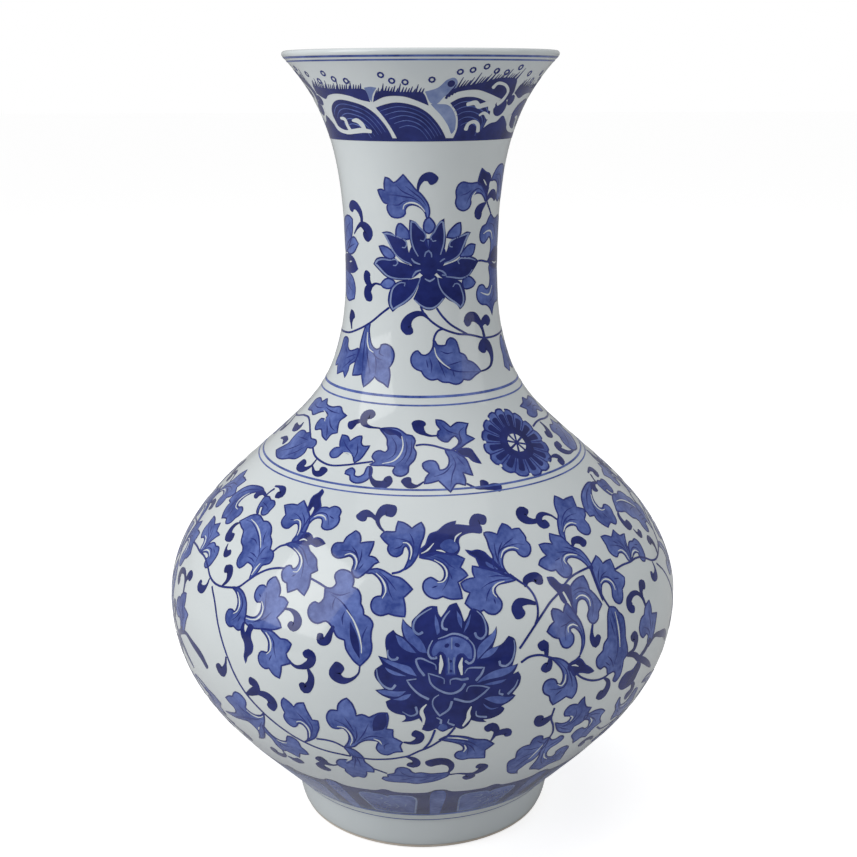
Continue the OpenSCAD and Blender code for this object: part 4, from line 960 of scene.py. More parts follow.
# The flower: a dark body, lighter petals on it and fine pale contours
peony = {
    "body": [(3, 174.7, 1), (3.2, 171.5), (3.7, 169.9, 1), (4.7, 172.5), (5.6, 175), (7.1, 175.9, 1),
     (7.8, 172.5), (8.4, 167.6, 1), (9.2, 169.8), (9.9, 172.6), (10.6, 173, 1), (12, 171.5), (12.7, 168.5),
     (13.3, 165), (13.1, 161, 1), (14.2, 162.3), (14.9, 164.6, 1), (14.8, 161.5), (13.7, 155.7, 1),
     (15.5, 156.7), (17.2, 159.9, 1), (18.3, 158.5), (18.6, 155), (18.2, 151), (17.5, 146.9, 1),
     (18.7, 147.5, 1), (18.3, 145.5), (17.6, 143.2, 1), (18.7, 144, 1), (19.2, 141.5), (18.9, 138),
     (17.5, 134, 1), (18.2, 133, 1), (17.3, 130.8), (15.3, 128.6, 1), (16, 127.3), (15.4, 124.9),
     (13.6, 123), (11.8, 122.7, 1), (12.5, 121.2, 1), (10.8, 121.8), (9.4, 123.1, 1), (8.8, 120.5),
     (7.6, 118.5), (6.2, 120, 1), (5, 118.8), (3.8, 117.5), (2.5, 119.5, 1), (1, 118), (-0.3, 119, 1),
     (0, 121.5), (-0.8, 125, 1), (-2.3, 123.6), (-4.2, 123, 1), (-3.4, 124.9), (-3.6, 126.5, 1),
     (-5.5, 127.5), (-6.8, 129.8), (-7.2, 133, 1), (-6.2, 134.3, 1), (-8, 136), (-9.2, 138.2, 1),
     (-7.5, 139, 1), (-8.2, 141), (-9.2, 144), (-9.3, 147), (-7.8, 149.9, 1), (-8.7, 153.4, 1),
     (-6.9, 152.5, 1), (-7.1, 155.5), (-7.4, 158.5), (-7.2, 162), (-5.9, 164.6, 1), (-5.2, 163),
     (-3.9, 161.8, 1), (-4.3, 165.5), (-4.1, 169.5, 1), (-3.2, 167.3), (-2.3, 165.8, 1), (-2.2, 168.5),
     (-1.2, 170.8), (0.2, 173.5), (1.5, 174.8)],
    "petals": [[(-4.1, 168.9, 1), (-3.3, 166.9), (-2.2, 165.1), (-1.6, 163), (-0.5, 160.8), (0.3, 158),
     (0.8, 155, 1), (-0.5, 155.5), (-1.8, 158), (-3.3, 161), (-4, 165.3)], [(-5.4, 162.4, 1), (-4.2, 161.4),
     (-3, 159.3), (-1.3, 155, 1), (-2.8, 155.6), (-4.5, 158)], [(14.7, 163.6, 1), (14.6, 161.3),
     (14, 158.6), (12.8, 155.8), (10.6, 151.5, 1), (10.5, 153.7), (11, 157), (12.5, 159.7), (13.6, 161.3)],
     [(15, 156.1, 1), (13.3, 155.3), (12, 153.6), (11.1, 151.5, 1), (13, 152.1), (14.3, 154.1)],
     [(-8.3, 152.8, 1), (-6.8, 151.8), (-4.5, 150.4), (-2.5, 149.1), (-1.2, 145.1, 1), (-3, 146.3),
     (-5, 148.5), (-7, 150.6)], [(-7.3, 148.6, 1), (-5.4, 147), (-3.2, 145.1, 1), (-5.3, 145.4),
     (-6.8, 147)], [(-8.8, 138, 1), (-7.3, 138.4), (-5, 138), (-3.3, 138.3, 1), (-4.4, 136), (-6, 135.6),
     (-7.8, 136.6)], [(-5.8, 134.2, 1), (-4, 133.9), (-2.8, 135.2), (-2.3, 137, 1), (-3.5, 136.5),
     (-4.7, 135)], [(18.3, 147, 1), (16.5, 146.5), (14, 145.8), (12, 144), (10.3, 141, 1), (12.5, 142.1),
     (15.5, 142.9), (17.3, 144.5)], [(17.8, 132.8, 1), (16.5, 132.8), (15, 133.6), (13, 134),
     (11.8, 133.4, 1), (13, 131.7), (14.5, 130.2), (16, 130.1)], [(2.5, 171.3, 1), (3.1, 168), (3.3, 163.5),
     (2.8, 162.5, 1), (2.4, 167)], [(7, 172.5, 1), (7.9, 169), (7.8, 164.8, 1), (7.1, 168)],
     [(9.9, 170.8, 1), (8.6, 166), (8.1, 162.9, 1), (9.3, 166.4)], [(16.2, 141.3, 1), (13.5, 140.8),
     (11.5, 140, 1), (13.5, 139.5), (15.5, 140.2)], [(14.9, 128.3, 1), (13.4, 128.2), (11.6, 131, 1),
     (12.2, 129), (13.3, 127.5)], [(3.8, 118.3, 1), (2.9, 119.5), (3.4, 121.8), (4.4, 121.5), (4.8, 119.4)],
     ],
    "heart": [(5.8, 162), (4.2, 160.9), (2.8, 160.2), (1.9, 158), (1.5, 155), (1.8, 153.4), (2.7, 153.8),
     (3.3, 155.3), (4.2, 153.8), (4.4, 150.5), (4.3, 145.2, 1), (6.3, 145.2, 1), (6.4, 150.5), (6.8, 153.6),
     (7.8, 154), (8.6, 151.8), (9.5, 151.5), (9.7, 153.8), (9.5, 157.3), (8.7, 159.6), (7.4, 161.4)],
    "heartDots": [[(4.4, 157.6), (4.9, 158.3)], [(6.4, 158.3), (7, 157.6)], [(5.3, 151.5), (5.3, 151.1)],
     [(5.3, 147.3), (5.3, 146.9)]],
    "stem": [[(4.9, 152.8), (5.0, 149), (4.9, 146.2)], [(6.0, 152.8), (5.9, 149), (6, 146.2)], [(5.7, 161),
     (5.6, 158.8), (5.6, 156.4)]],
    "white": [[(3.4, 154), (3.5, 150.5), (3.2, 146.3)], [(7.6, 152.4), (7.2, 149.5), (7.4, 145.3)],
     [(0.6, 132), (-0.2, 129.7), (-0.3, 127.8), (0.1, 125), (0, 121.8)], [(9.3, 130), (8.8, 127),
     (8.8, 124.3), (7.8, 120.3)]],
    "pale": [[(1.8, 173.8), (0.2, 172), (-1.3, 169.6), (-1.9, 167), (-1.8, 164.5), (-0.9, 162.9),
     (-0.1, 163.7)], [(5.6, 172.5), (4.6, 170.3), (3.9, 167.7), (4, 165.3), (4.8, 164.7)], [(11.2, 171.7),
     (12.2, 169.3), (12.7, 165.5), (12.5, 161.5), (11.5, 159.9), (10.6, 161), (10.4, 162.5)], [(-6.8, 156),
     (-6.8, 153.7), (-6, 152), (-5, 152.4), (-4.9, 153)], [(-8.9, 147.5), (-8.6, 143.7), (-7.5, 140.3),
     (-6, 139.1), (-5.3, 140.9)], [(2.5, 148), (2.4, 149.9), (1.2, 151.3), (-0.4, 152.8), (-1.3, 152.3),
     (-0.9, 149), (0.2, 145.5)], [(4, 141.6), (4, 143.7), (2.8, 145), (1, 146.3, 1), (1.5, 141.8),
     (3.2, 138.5), (5.3, 136.9), (7.1, 138.3), (8, 141)], [(5.2, 141.2), (5.2, 143.1), (6.3, 143.7),
     (7.4, 143), (8.6, 143.3)], [(-1.3, 143.9), (-3.1, 143.3, 1), (-2.3, 140.5), (-0.8, 137), (1, 134.6)],
     [(8, 145.8), (8.6, 147.7), (11.8, 147.6, 1), (11.3, 145), (10.2, 142.3)], [(8.3, 137.5), (8.7, 139.6),
     (11, 139.6), (12.8, 138.3, 1), (11.4, 135.5), (9, 132.5), (6, 134.3)], [(3, 136.5), (2, 134.8),
     (1.8, 132), (2.5, 128.5), (3.2, 126.3, 1), (5, 129.5), (5.5, 133)], [(-4, 128.3), (-2.4, 126.3),
     (-1.2, 127.6), (-1.4, 130.7)], [(10.3, 127.5), (10.4, 125.2), (12.4, 124)], [(18.6, 140.3),
     (18, 137.3), (16.6, 134.3)], [(18.2, 157.7), (18.2, 154), (17.4, 149.2), (16.1, 147.2), (15, 148),
     (14.9, 149.5)], [(14.9, 136.8), (14.8, 135), (15.5, 134.3)], [(2.6, 125.3), (3.5, 124), (3.4, 122.3)],
     [(5, 124.2), (4.8, 122.6), (6, 121)], [(1.9, 160.3), (1.2, 157.5), (1, 154.8), (1.6, 152.8),
     (2.6, 153)], [(3, 160.9), (4.4, 161.8), (5.8, 162.8), (7.4, 162.2), (8.8, 160.5)], [(8.9, 160.4),
     (9.9, 157.5), (10.1, 153.8), (9.6, 150.6), (8.8, 149.9), (8.2, 151)], ],
}
bellyLeaves += [
    {"edge": [(43.4, 218, 1), (44.5, 216.6), (45.6, 214.7, 1), (47.5, 215), (50.1, 214.8, 1), (49.3, 212),
     (48.6, 209.2, 1), (50.8, 207, 1), (49.9, 204.3), (48.2, 202.2), (48.5, 199.7), (47.7, 196.3),
     (46.3, 195.2), (44.7, 196.3), (43.8, 199), (44, 200.6), (43.2, 201.8), (41.5, 202.1), (39.8, 201.2),
     (38.7, 199), (38.2, 196.3, 1), (37.3, 199), (37.8, 202), (38.8, 205.5), (40.3, 208.5), (40.7, 211.5),
     (41.5, 214.5), (42.5, 216.5)],
     "lights": [[(44.4, 201.8), (43.3, 203), (41.8, 203.2), (40.2, 202.2), (38.9, 200.2)]],
     "veins": [[(46.7, 206.5), (44.5, 206.7), (42, 205.7), (39.8, 203), (38.2, 198.8)], [(47.5, 210),
     (44, 209.3), (41, 206.5), (38.8, 202.3)], [(45.8, 203.2), (43.5, 204.6), (41.3, 204.2)]]},
    {"edge": [(50.9, 206.2, 1), (51.9, 209.5), (53.3, 212.3), (55.5, 214.6), (58, 216), (60.5, 216.8),
     (63, 216.8), (66.7, 213.7, 1), (63.3, 215.3), (61, 213.6), (59, 211.5), (57.5, 208), (57.5, 204),
     (58.8, 203.2), (60.5, 204.2), (62, 202.8), (62.2, 200.5), (61.3, 198), (60.8, 195.3), (58.9, 193.6),
     (57.5, 195.6, 1), (56, 195), (55, 194.2, 1), (53.7, 196.7), (52.8, 199.9), (53, 202.2, 1),
     (51, 202.7, 1)],
     "lights": [[(59.3, 202.2), (57.6, 202.5), (56.5, 205), (56.9, 208.3), (58.5, 211.5)]],
     "veins": [[(52.5, 206), (54.5, 209.8), (57.5, 213.3), (62, 215.6)], [(54.8, 199), (55, 204),
     (56.2, 209)], [(57.6, 198), (56.9, 201.3)]]},
    {"edge": [(50, 191.9, 1), (51.8, 191.6), (53.8, 189.5, 1), (55.2, 190.8), (56.3, 192, 1), (56.8, 189.6),
     (57.4, 188, 1), (59.8, 187.6, 1), (58.7, 185.5), (57.7, 182.5), (57, 178.5), (55.6, 175.2, 1),
     (54.8, 177), (54.7, 179.3), (54, 181.1), (52.7, 181.5), (51.6, 180.4), (50.3, 182.2), (49.8, 184.5),
     (50.1, 187.3, 1)], "lights": [[(53, 182.5), (54.3, 182.3), (55.3, 180), (55.4, 176.8)]],
     "veins": [[(51.5, 186.5), (53.5, 185.2), (55.5, 182.5), (56, 178), (55.7, 175.5)], [(55, 187.5),
     (56, 184), (56.3, 179)], [(57.8, 185.5), (57, 182), (56.4, 178)], [(53, 188), (54.8, 185.3)]]},
    {"edge": [(56, 175.3, 1), (57, 178.5), (58, 181.5), (59.7, 183.2), (61.2, 182.4, 1), (62.8, 182.7),
     (63.8, 180.2), (63.8, 177.4), (63, 173.2), (61.7, 171.4), (60.5, 172.6), (60.3, 174.9), (60.6, 176.3),
     (59.8, 177.4), (58.3, 177.3), (57, 176.2)],
     "lights": [[(60.9, 176.8), (59.8, 178.5), (58.2, 178.3), (57, 176.9)]],
     "veins": [[(61.5, 175.5), (61.3, 178.3), (60, 180), (58, 179.3), (56.9, 177)], [(62.5, 179.5),
     (61, 180.8)]]},
    {"edge": [(44.8, 185, 1), (45.4, 183.2), (45.7, 180.5, 1), (47, 181), (48.8, 180.9, 1), (48.8, 178.3),
     (48.5, 175.3, 1), (49.5, 173.4), (50.6, 170.7, 1), (49.7, 168), (48.3, 166.4, 1), (47.9, 164),
     (47.3, 162), (46.3, 160.9), (45, 162.3), (44.5, 165.2), (45, 168), (45.1, 170.2), (44.6, 172),
     (43.6, 172.7), (42.5, 171.8), (41.8, 169.5), (41.3, 165, 1), (41, 170), (41, 176), (41.3, 180.5),
     (42, 181.8), (43.3, 183.3)],
     "lights": [[(46, 167.5), (46, 170.5), (45.1, 173), (43.7, 173.8), (42.4, 172.8)]],
     "veins": [[(46.3, 164.5), (46.8, 168), (46.3, 171.8), (44.8, 174.6), (43, 174.5), (41.7, 171.5)],
     [(45.8, 176.7), (43.8, 175.8), (42, 173)], [(44, 179.5), (42.8, 176.8), (41.8, 173.5)], [(48.7, 171.5),
     (46.9, 172.2)]]},
    {"edge": [(57.1, 155, 1), (55.5, 154.2), (54.4, 152.6), (53.8, 150.4, 1), (52.3, 149.5), (51.3, 146),
     (51.6, 142.3), (52.9, 140), (54.1, 141), (55, 139.3), (54.8, 136.5), (56, 134.5), (57.6, 137),
     (58.7, 142), (59.4, 144.8), (59.9, 146.8, 1), (58.4, 147.7), (57.2, 148.5, 1), (57.4, 151.5)],
     "veins": [[(53, 145), (55, 142.5), (56.2, 137.5)], [(56, 150.5), (56.2, 145), (56.5, 139)],
     [(57.6, 145.5), (56.9, 141.5)]]},
    {"edge": [(51.3, 129, 1), (49.5, 126.3), (47, 126.5), (45.4, 124), (45.3, 121), (46.8, 118),
     (49, 117.5), (51, 118.3), (52, 122), (52.8, 126)], "tone": "deep"},
]
bellyCommas += [
    ([(55.1, 154), (54.5, 158.5), (53, 161.5), (51, 162), (49.3, 160), (49.3, 156.8), (50.2, 155.6)], [1.6,
     2, 2, 2.4, 3, 4.4, 3.2]),
    ([(54.6, 158.5), (54.8, 161), (56, 163.6), (56.8, 162.8)], [2, 2.4, 4.2, 4]),
    ([(46.6, 136.2), (49.5, 134), (51.5, 130.5), (54, 127.5), (57, 123), (59.5, 119)], [1.6, 2.6, 3, 3, 2.6,
     1.4]),
    ([(51.5, 130.8), (54, 133), (56, 136.5)], [2, 2.6, 2.6]),
    ([(55.5, 134), (58.5, 136.3), (62, 134.3), (66, 131), (68, 127)], [2, 2, 3, 4, 3]),
]
bellyStems += [
    [(48.6, 175.8), (52, 176), (55.5, 175.4), (58, 175.4), (60, 174.7)],
]


def moved(points, turn, climb):
    return [(p[0] + turn, p[1] + climb, *p[2:]) for p in points]


def movedLeaf(leaf, turn, climb):
    marks = [key for key in ("lights", "veins", "patches", "darks") if key in leaf]
    copy = {key: [moved(points, turn, climb) for points in leaf[key]] for key in marks}
    return {**copy, "edge": moved(leaf["edge"], turn, climb), "tone": leaf.get("tone", "wash")}


# The gap between two repeats is filled with leaves like the ones beside it
for number, turn, climb in ((27, 58, 0), (26, 54, -1), (24, 84, 7)):
    bellyLeaves.append(movedLeaf(bellyLeaves[number], turn, climb))
bellyCommas += [
    ([(46, 84.5), (44.5, 87.5), (42.6, 88.2), (41.6, 86), (42.4, 84)], [1.6, 2.2, 2.8, 4, 3]),
    ([(66.5, 92.5), (69, 88.5), (71.5, 86), (70.8, 82.6), (68.8, 82.6)], [1.6, 2.2, 3, 4.2, 3.2]),
]
bellyStems += [
    [(43.5, 97), (46.5, 92.5), (51.5, 92.4), (57, 94.5), (63, 94.6), (69, 92.6)],
]
peonyLines = {
    "pale": [0.4, 0.8, 1.1], "white": [0.5, 1.9, 0.8], "dots": [1.3, 1.7, 1.3], "stem": [0.4, 0.6, 0.4],
}
belly = newBand()
for leaf in bellyLeaves:
    paintLeaf(belly, leaf, bellyTurns)
paintStrokes(belly, bellyCommas, bellyStems, bellyTurns)
fillShape(belly["deep"], peony["body"], rise["deep"], bellyTurns)
for edge in peony["petals"] + [peony["heart"]]:
    fillShape(belly["wash"], edge, rise["line"], bellyTurns)
for tone in ("pale", "white"):
    for points in peony[tone]:
        stroke(belly[tone], points, peonyLines[tone], rise["white"], bellyTurns)
for points in peony["heartDots"]:
    stroke(belly["deep"], points, peonyLines["dots"], rise["white"], bellyTurns)
stroke(belly["line"], peony["heart"], [brush["light"]], rise["white"], bellyTurns, closed=True)
for points in peony["stem"]:
    stroke(belly["pale"], points, peonyLines["stem"], rise["over"], bellyTurns)
pieces(belly, "belly", looks)

print("Neck")
neckTurns = (0, 180)
# A lotus between scrolling leaves, half the way round, and a side flower beyond them
lotusPetals = [
    {"edge": [(-8.2, 358.8, 1), (-5, 358.2), (-1.7, 356.1), (0.5, 354.2), (2.6, 352), (4.3, 349),
     (4.5, 340), (0, 339), (-3, 341.7), (-6.6, 345.7), (-8.4, 350.6), (-8.7, 355)],
     "pale": [(-0.6, 349.5), (1.5, 349), (3.3, 351.2), (1.5, 353.6), (-1.5, 355.4), (-4.3, 357.6),
     (-6.9, 357.9, 1), (-7.3, 354.2), (-7, 349.7), (-5.2, 345.6), (-2.3, 342.2)]},
    {"edge": [(16.3, 359.2, 1), (13, 358), (10.6, 355.7), (8.5, 353.4), (6, 350.7), (5, 346), (5.5, 340),
     (11, 339.5), (14.2, 341.5), (16.9, 345.7), (17.8, 350.4), (16.8, 355.5)],
     "pale": [(10.4, 349.2), (8.3, 348.9), (6.5, 350.8), (9.2, 353.2), (11.6, 356.2), (14.2, 357.8),
     (15.5, 357.3, 1), (16.5, 352.3), (16, 347.7), (13.8, 342.8)]},
    {"edge": [(-29.3, 352.6, 1), (-25.7, 353.2), (-21.6, 352.8), (-17.3, 350.7), (-13.3, 349.7),
     (-10.3, 347.7), (-9, 344), (-4, 339.5), (-8, 338.3), (-12.4, 339.2), (-17.3, 341.6), (-21.3, 345),
     (-24, 349.2), (-27, 351.5)],
     "pale": [(-13.7, 346.1), (-11.8, 346), (-10.4, 347.6), (-11.5, 349.4), (-16.5, 350.6), (-20.8, 351.7),
     (-25.2, 352.2), (-27.3, 352, 1), (-25.1, 349.8), (-22.4, 346.5), (-19.2, 343.2), (-13.9, 340.4),
     (-8, 338.7)]},
    {"edge": [(38.1, 352.2, 1), (34.3, 352.7), (30, 351.4), (24.5, 350.4), (20.5, 348.4), (18.5, 344.5),
     (14, 339.5), (17, 338.8), (23, 339.6), (28.9, 341.8), (32.9, 345.8), (35, 349.2)],
     "pale": [(22.7, 346), (20.8, 346.3), (20.7, 348.1), (23.1, 349.4), (30.7, 351), (36.4, 351.8, 1),
     (34.4, 349.8), (31.7, 346.3), (28.5, 342.4), (22.5, 340), (17, 338.8)]},
    {"edge": [(-37.3, 337.7, 1), (-34.6, 340.4), (-29.5, 341.4), (-24, 340.8), (-20, 341.3), (-16.8, 339.8),
     (-8, 338), (0, 336), (-5.6, 332.4), (-12, 331.1), (-19, 331.1), (-26.2, 332.1), (-32.3, 335)],
     "pale": [(-20.6, 337.7), (-18.7, 337.7), (-17.1, 338.9), (-18.6, 340.5), (-23, 340.1), (-29, 340.3),
     (-33.3, 339.6), (-35.5, 338, 1), (-31.5, 336), (-25.5, 332.9), (-19, 331.8), (-8, 331.8)]},
    {"edge": [(46.6, 338.5, 1), (41.9, 340.4), (36, 341.4), (29.5, 341.3), (26.7, 339.8), (18, 338),
     (10, 336), (15, 332), (22, 331), (30.6, 330.5), (37, 332), (42.6, 335.5)],
     "pale": [(40, 334.8), (36.6, 332.5), (30.6, 331.3), (22.5, 332.1), (18, 332.5)],
     "fold": [(28.3, 338.1), (27.1, 339.5), (29, 340.5), (34, 340.5), (38.5, 340), (43, 339)]},
    {"edge": [(-21, 316.1, 1), (-23.7, 318.4), (-25, 321.5), (-23.9, 325.5), (-21.3, 328.4), (-17.3, 330.3),
     (-8, 331.5), (-1, 332), (-2.9, 327.7), (-6.4, 323.4), (-12.4, 320), (-17.3, 318.2)],
     "pale": [(-12.3, 328.4), (-11.8, 329.8), (-14.5, 330), (-18.4, 328.8), (-21.4, 326.5), (-22.6, 323),
     (-22.6, 319.6), (-20.8, 317.5, 1), (-17, 319), (-10.9, 321.7), (-5.9, 325), (-2.4, 329.2),
     (-0.8, 332)]},
    {"edge": [(28.5, 316.9, 1), (31.4, 318.2), (33.8, 321.1), (33.2, 325.4), (30.9, 328.8), (28, 330.3),
     (18, 331.5), (10.7, 332), (12.5, 327.7), (15, 324.6), (19.6, 321.7), (24.5, 320), (27, 318.5)],
     "pale": [(23.3, 327.7), (24.8, 329), (28, 328.7), (30.2, 326), (31.8, 322.4), (31.2, 319.5),
     (29, 318, 1), (25.5, 320), (20.5, 322.3), (15.4, 325.5), (12.7, 328.9), (11.8, 332)]},
    {"edge": [(-5.9, 322.5, 1), (-2.9, 320.4), (2.1, 317.7), (6.4, 317.2), (10.8, 318.4), (15, 321.1),
     (17.4, 323, 1), (13, 327.5), (10.5, 333), (0, 333), (-2.5, 327.5)],
     "pale": [(-4.8, 322), (-0.9, 319.8), (3.6, 318.3), (8, 318.3), (12, 319.8), (15.8, 322.4)]},
]
lotusSepals = [
    [(-18.3, 350.5, 1), (-18, 354.2), (-16.2, 356.8), (-14.5, 357), (-11.5, 355.5), (-9, 353.5),
     (-8.6, 350), (-13, 350)],
    [(18.3, 350.5, 1), (19.5, 352.7), (22, 354.5), (26, 356.6), (28.8, 357, 1), (29.4, 353.9), (28.5, 351),
     (24, 350)],
    [(-31.8, 346.2, 1), (-28, 346.5), (-25.5, 346), (-22.3, 344.8), (-19.3, 342), (-22, 340.6),
     (-27, 341.5), (-30.1, 343.8)],
    [(42.8, 346.2, 1), (38.5, 346.8), (35, 346), (32.3, 344.4), (29, 341.6), (36, 341), (40.5, 341.9)],
    [(-31, 328.6, 1), (-27.5, 331), (-24, 331.6), (-19.5, 330), (-21.5, 327.8), (-24, 326.9),
     (-28.5, 327.2)],
    [(43.4, 328.6, 1), (40.5, 330.6), (36.5, 331.9), (31.5, 330.5), (31.3, 328.5), (32.5, 326.4),
     (37, 326.2), (41, 327)],
    [(5.4, 360, 1), (8, 358.3), (9.8, 356), (8.5, 354), (5.5, 352.5), (2.2, 353.6), (1.6, 356.1),
     (2.8, 358.6)],
    [(3, 349.8), (7, 349.5), (6.5, 347), (5.3, 345.8), (3.8, 347)],
]
lotusCore = [
    (-9, 343), (-6, 347), (5, 346), (15, 347), (18, 343), (17, 339), (12, 335), (5, 332), (-2, 335),
    (-8, 339)
]
lotusHeart = [
    [(2.3, 342), (3.2, 343.9), (5.2, 344.7), (7, 343.5), (7.4, 341.7)],
    [(-7, 341), (-5, 339.5), (-1, 338.5)],
    [(13.5, 339.5), (15.5, 340.4), (17, 340.8)],
    [(-6.5, 332.5), (-4, 335), (-0.5, 335.8)],
    [(11.5, 335.8), (15.5, 335), (18, 333.1), (15, 333.4)],
    [(2.5, 331.8), (6, 330.7), (9.5, 332)],
]
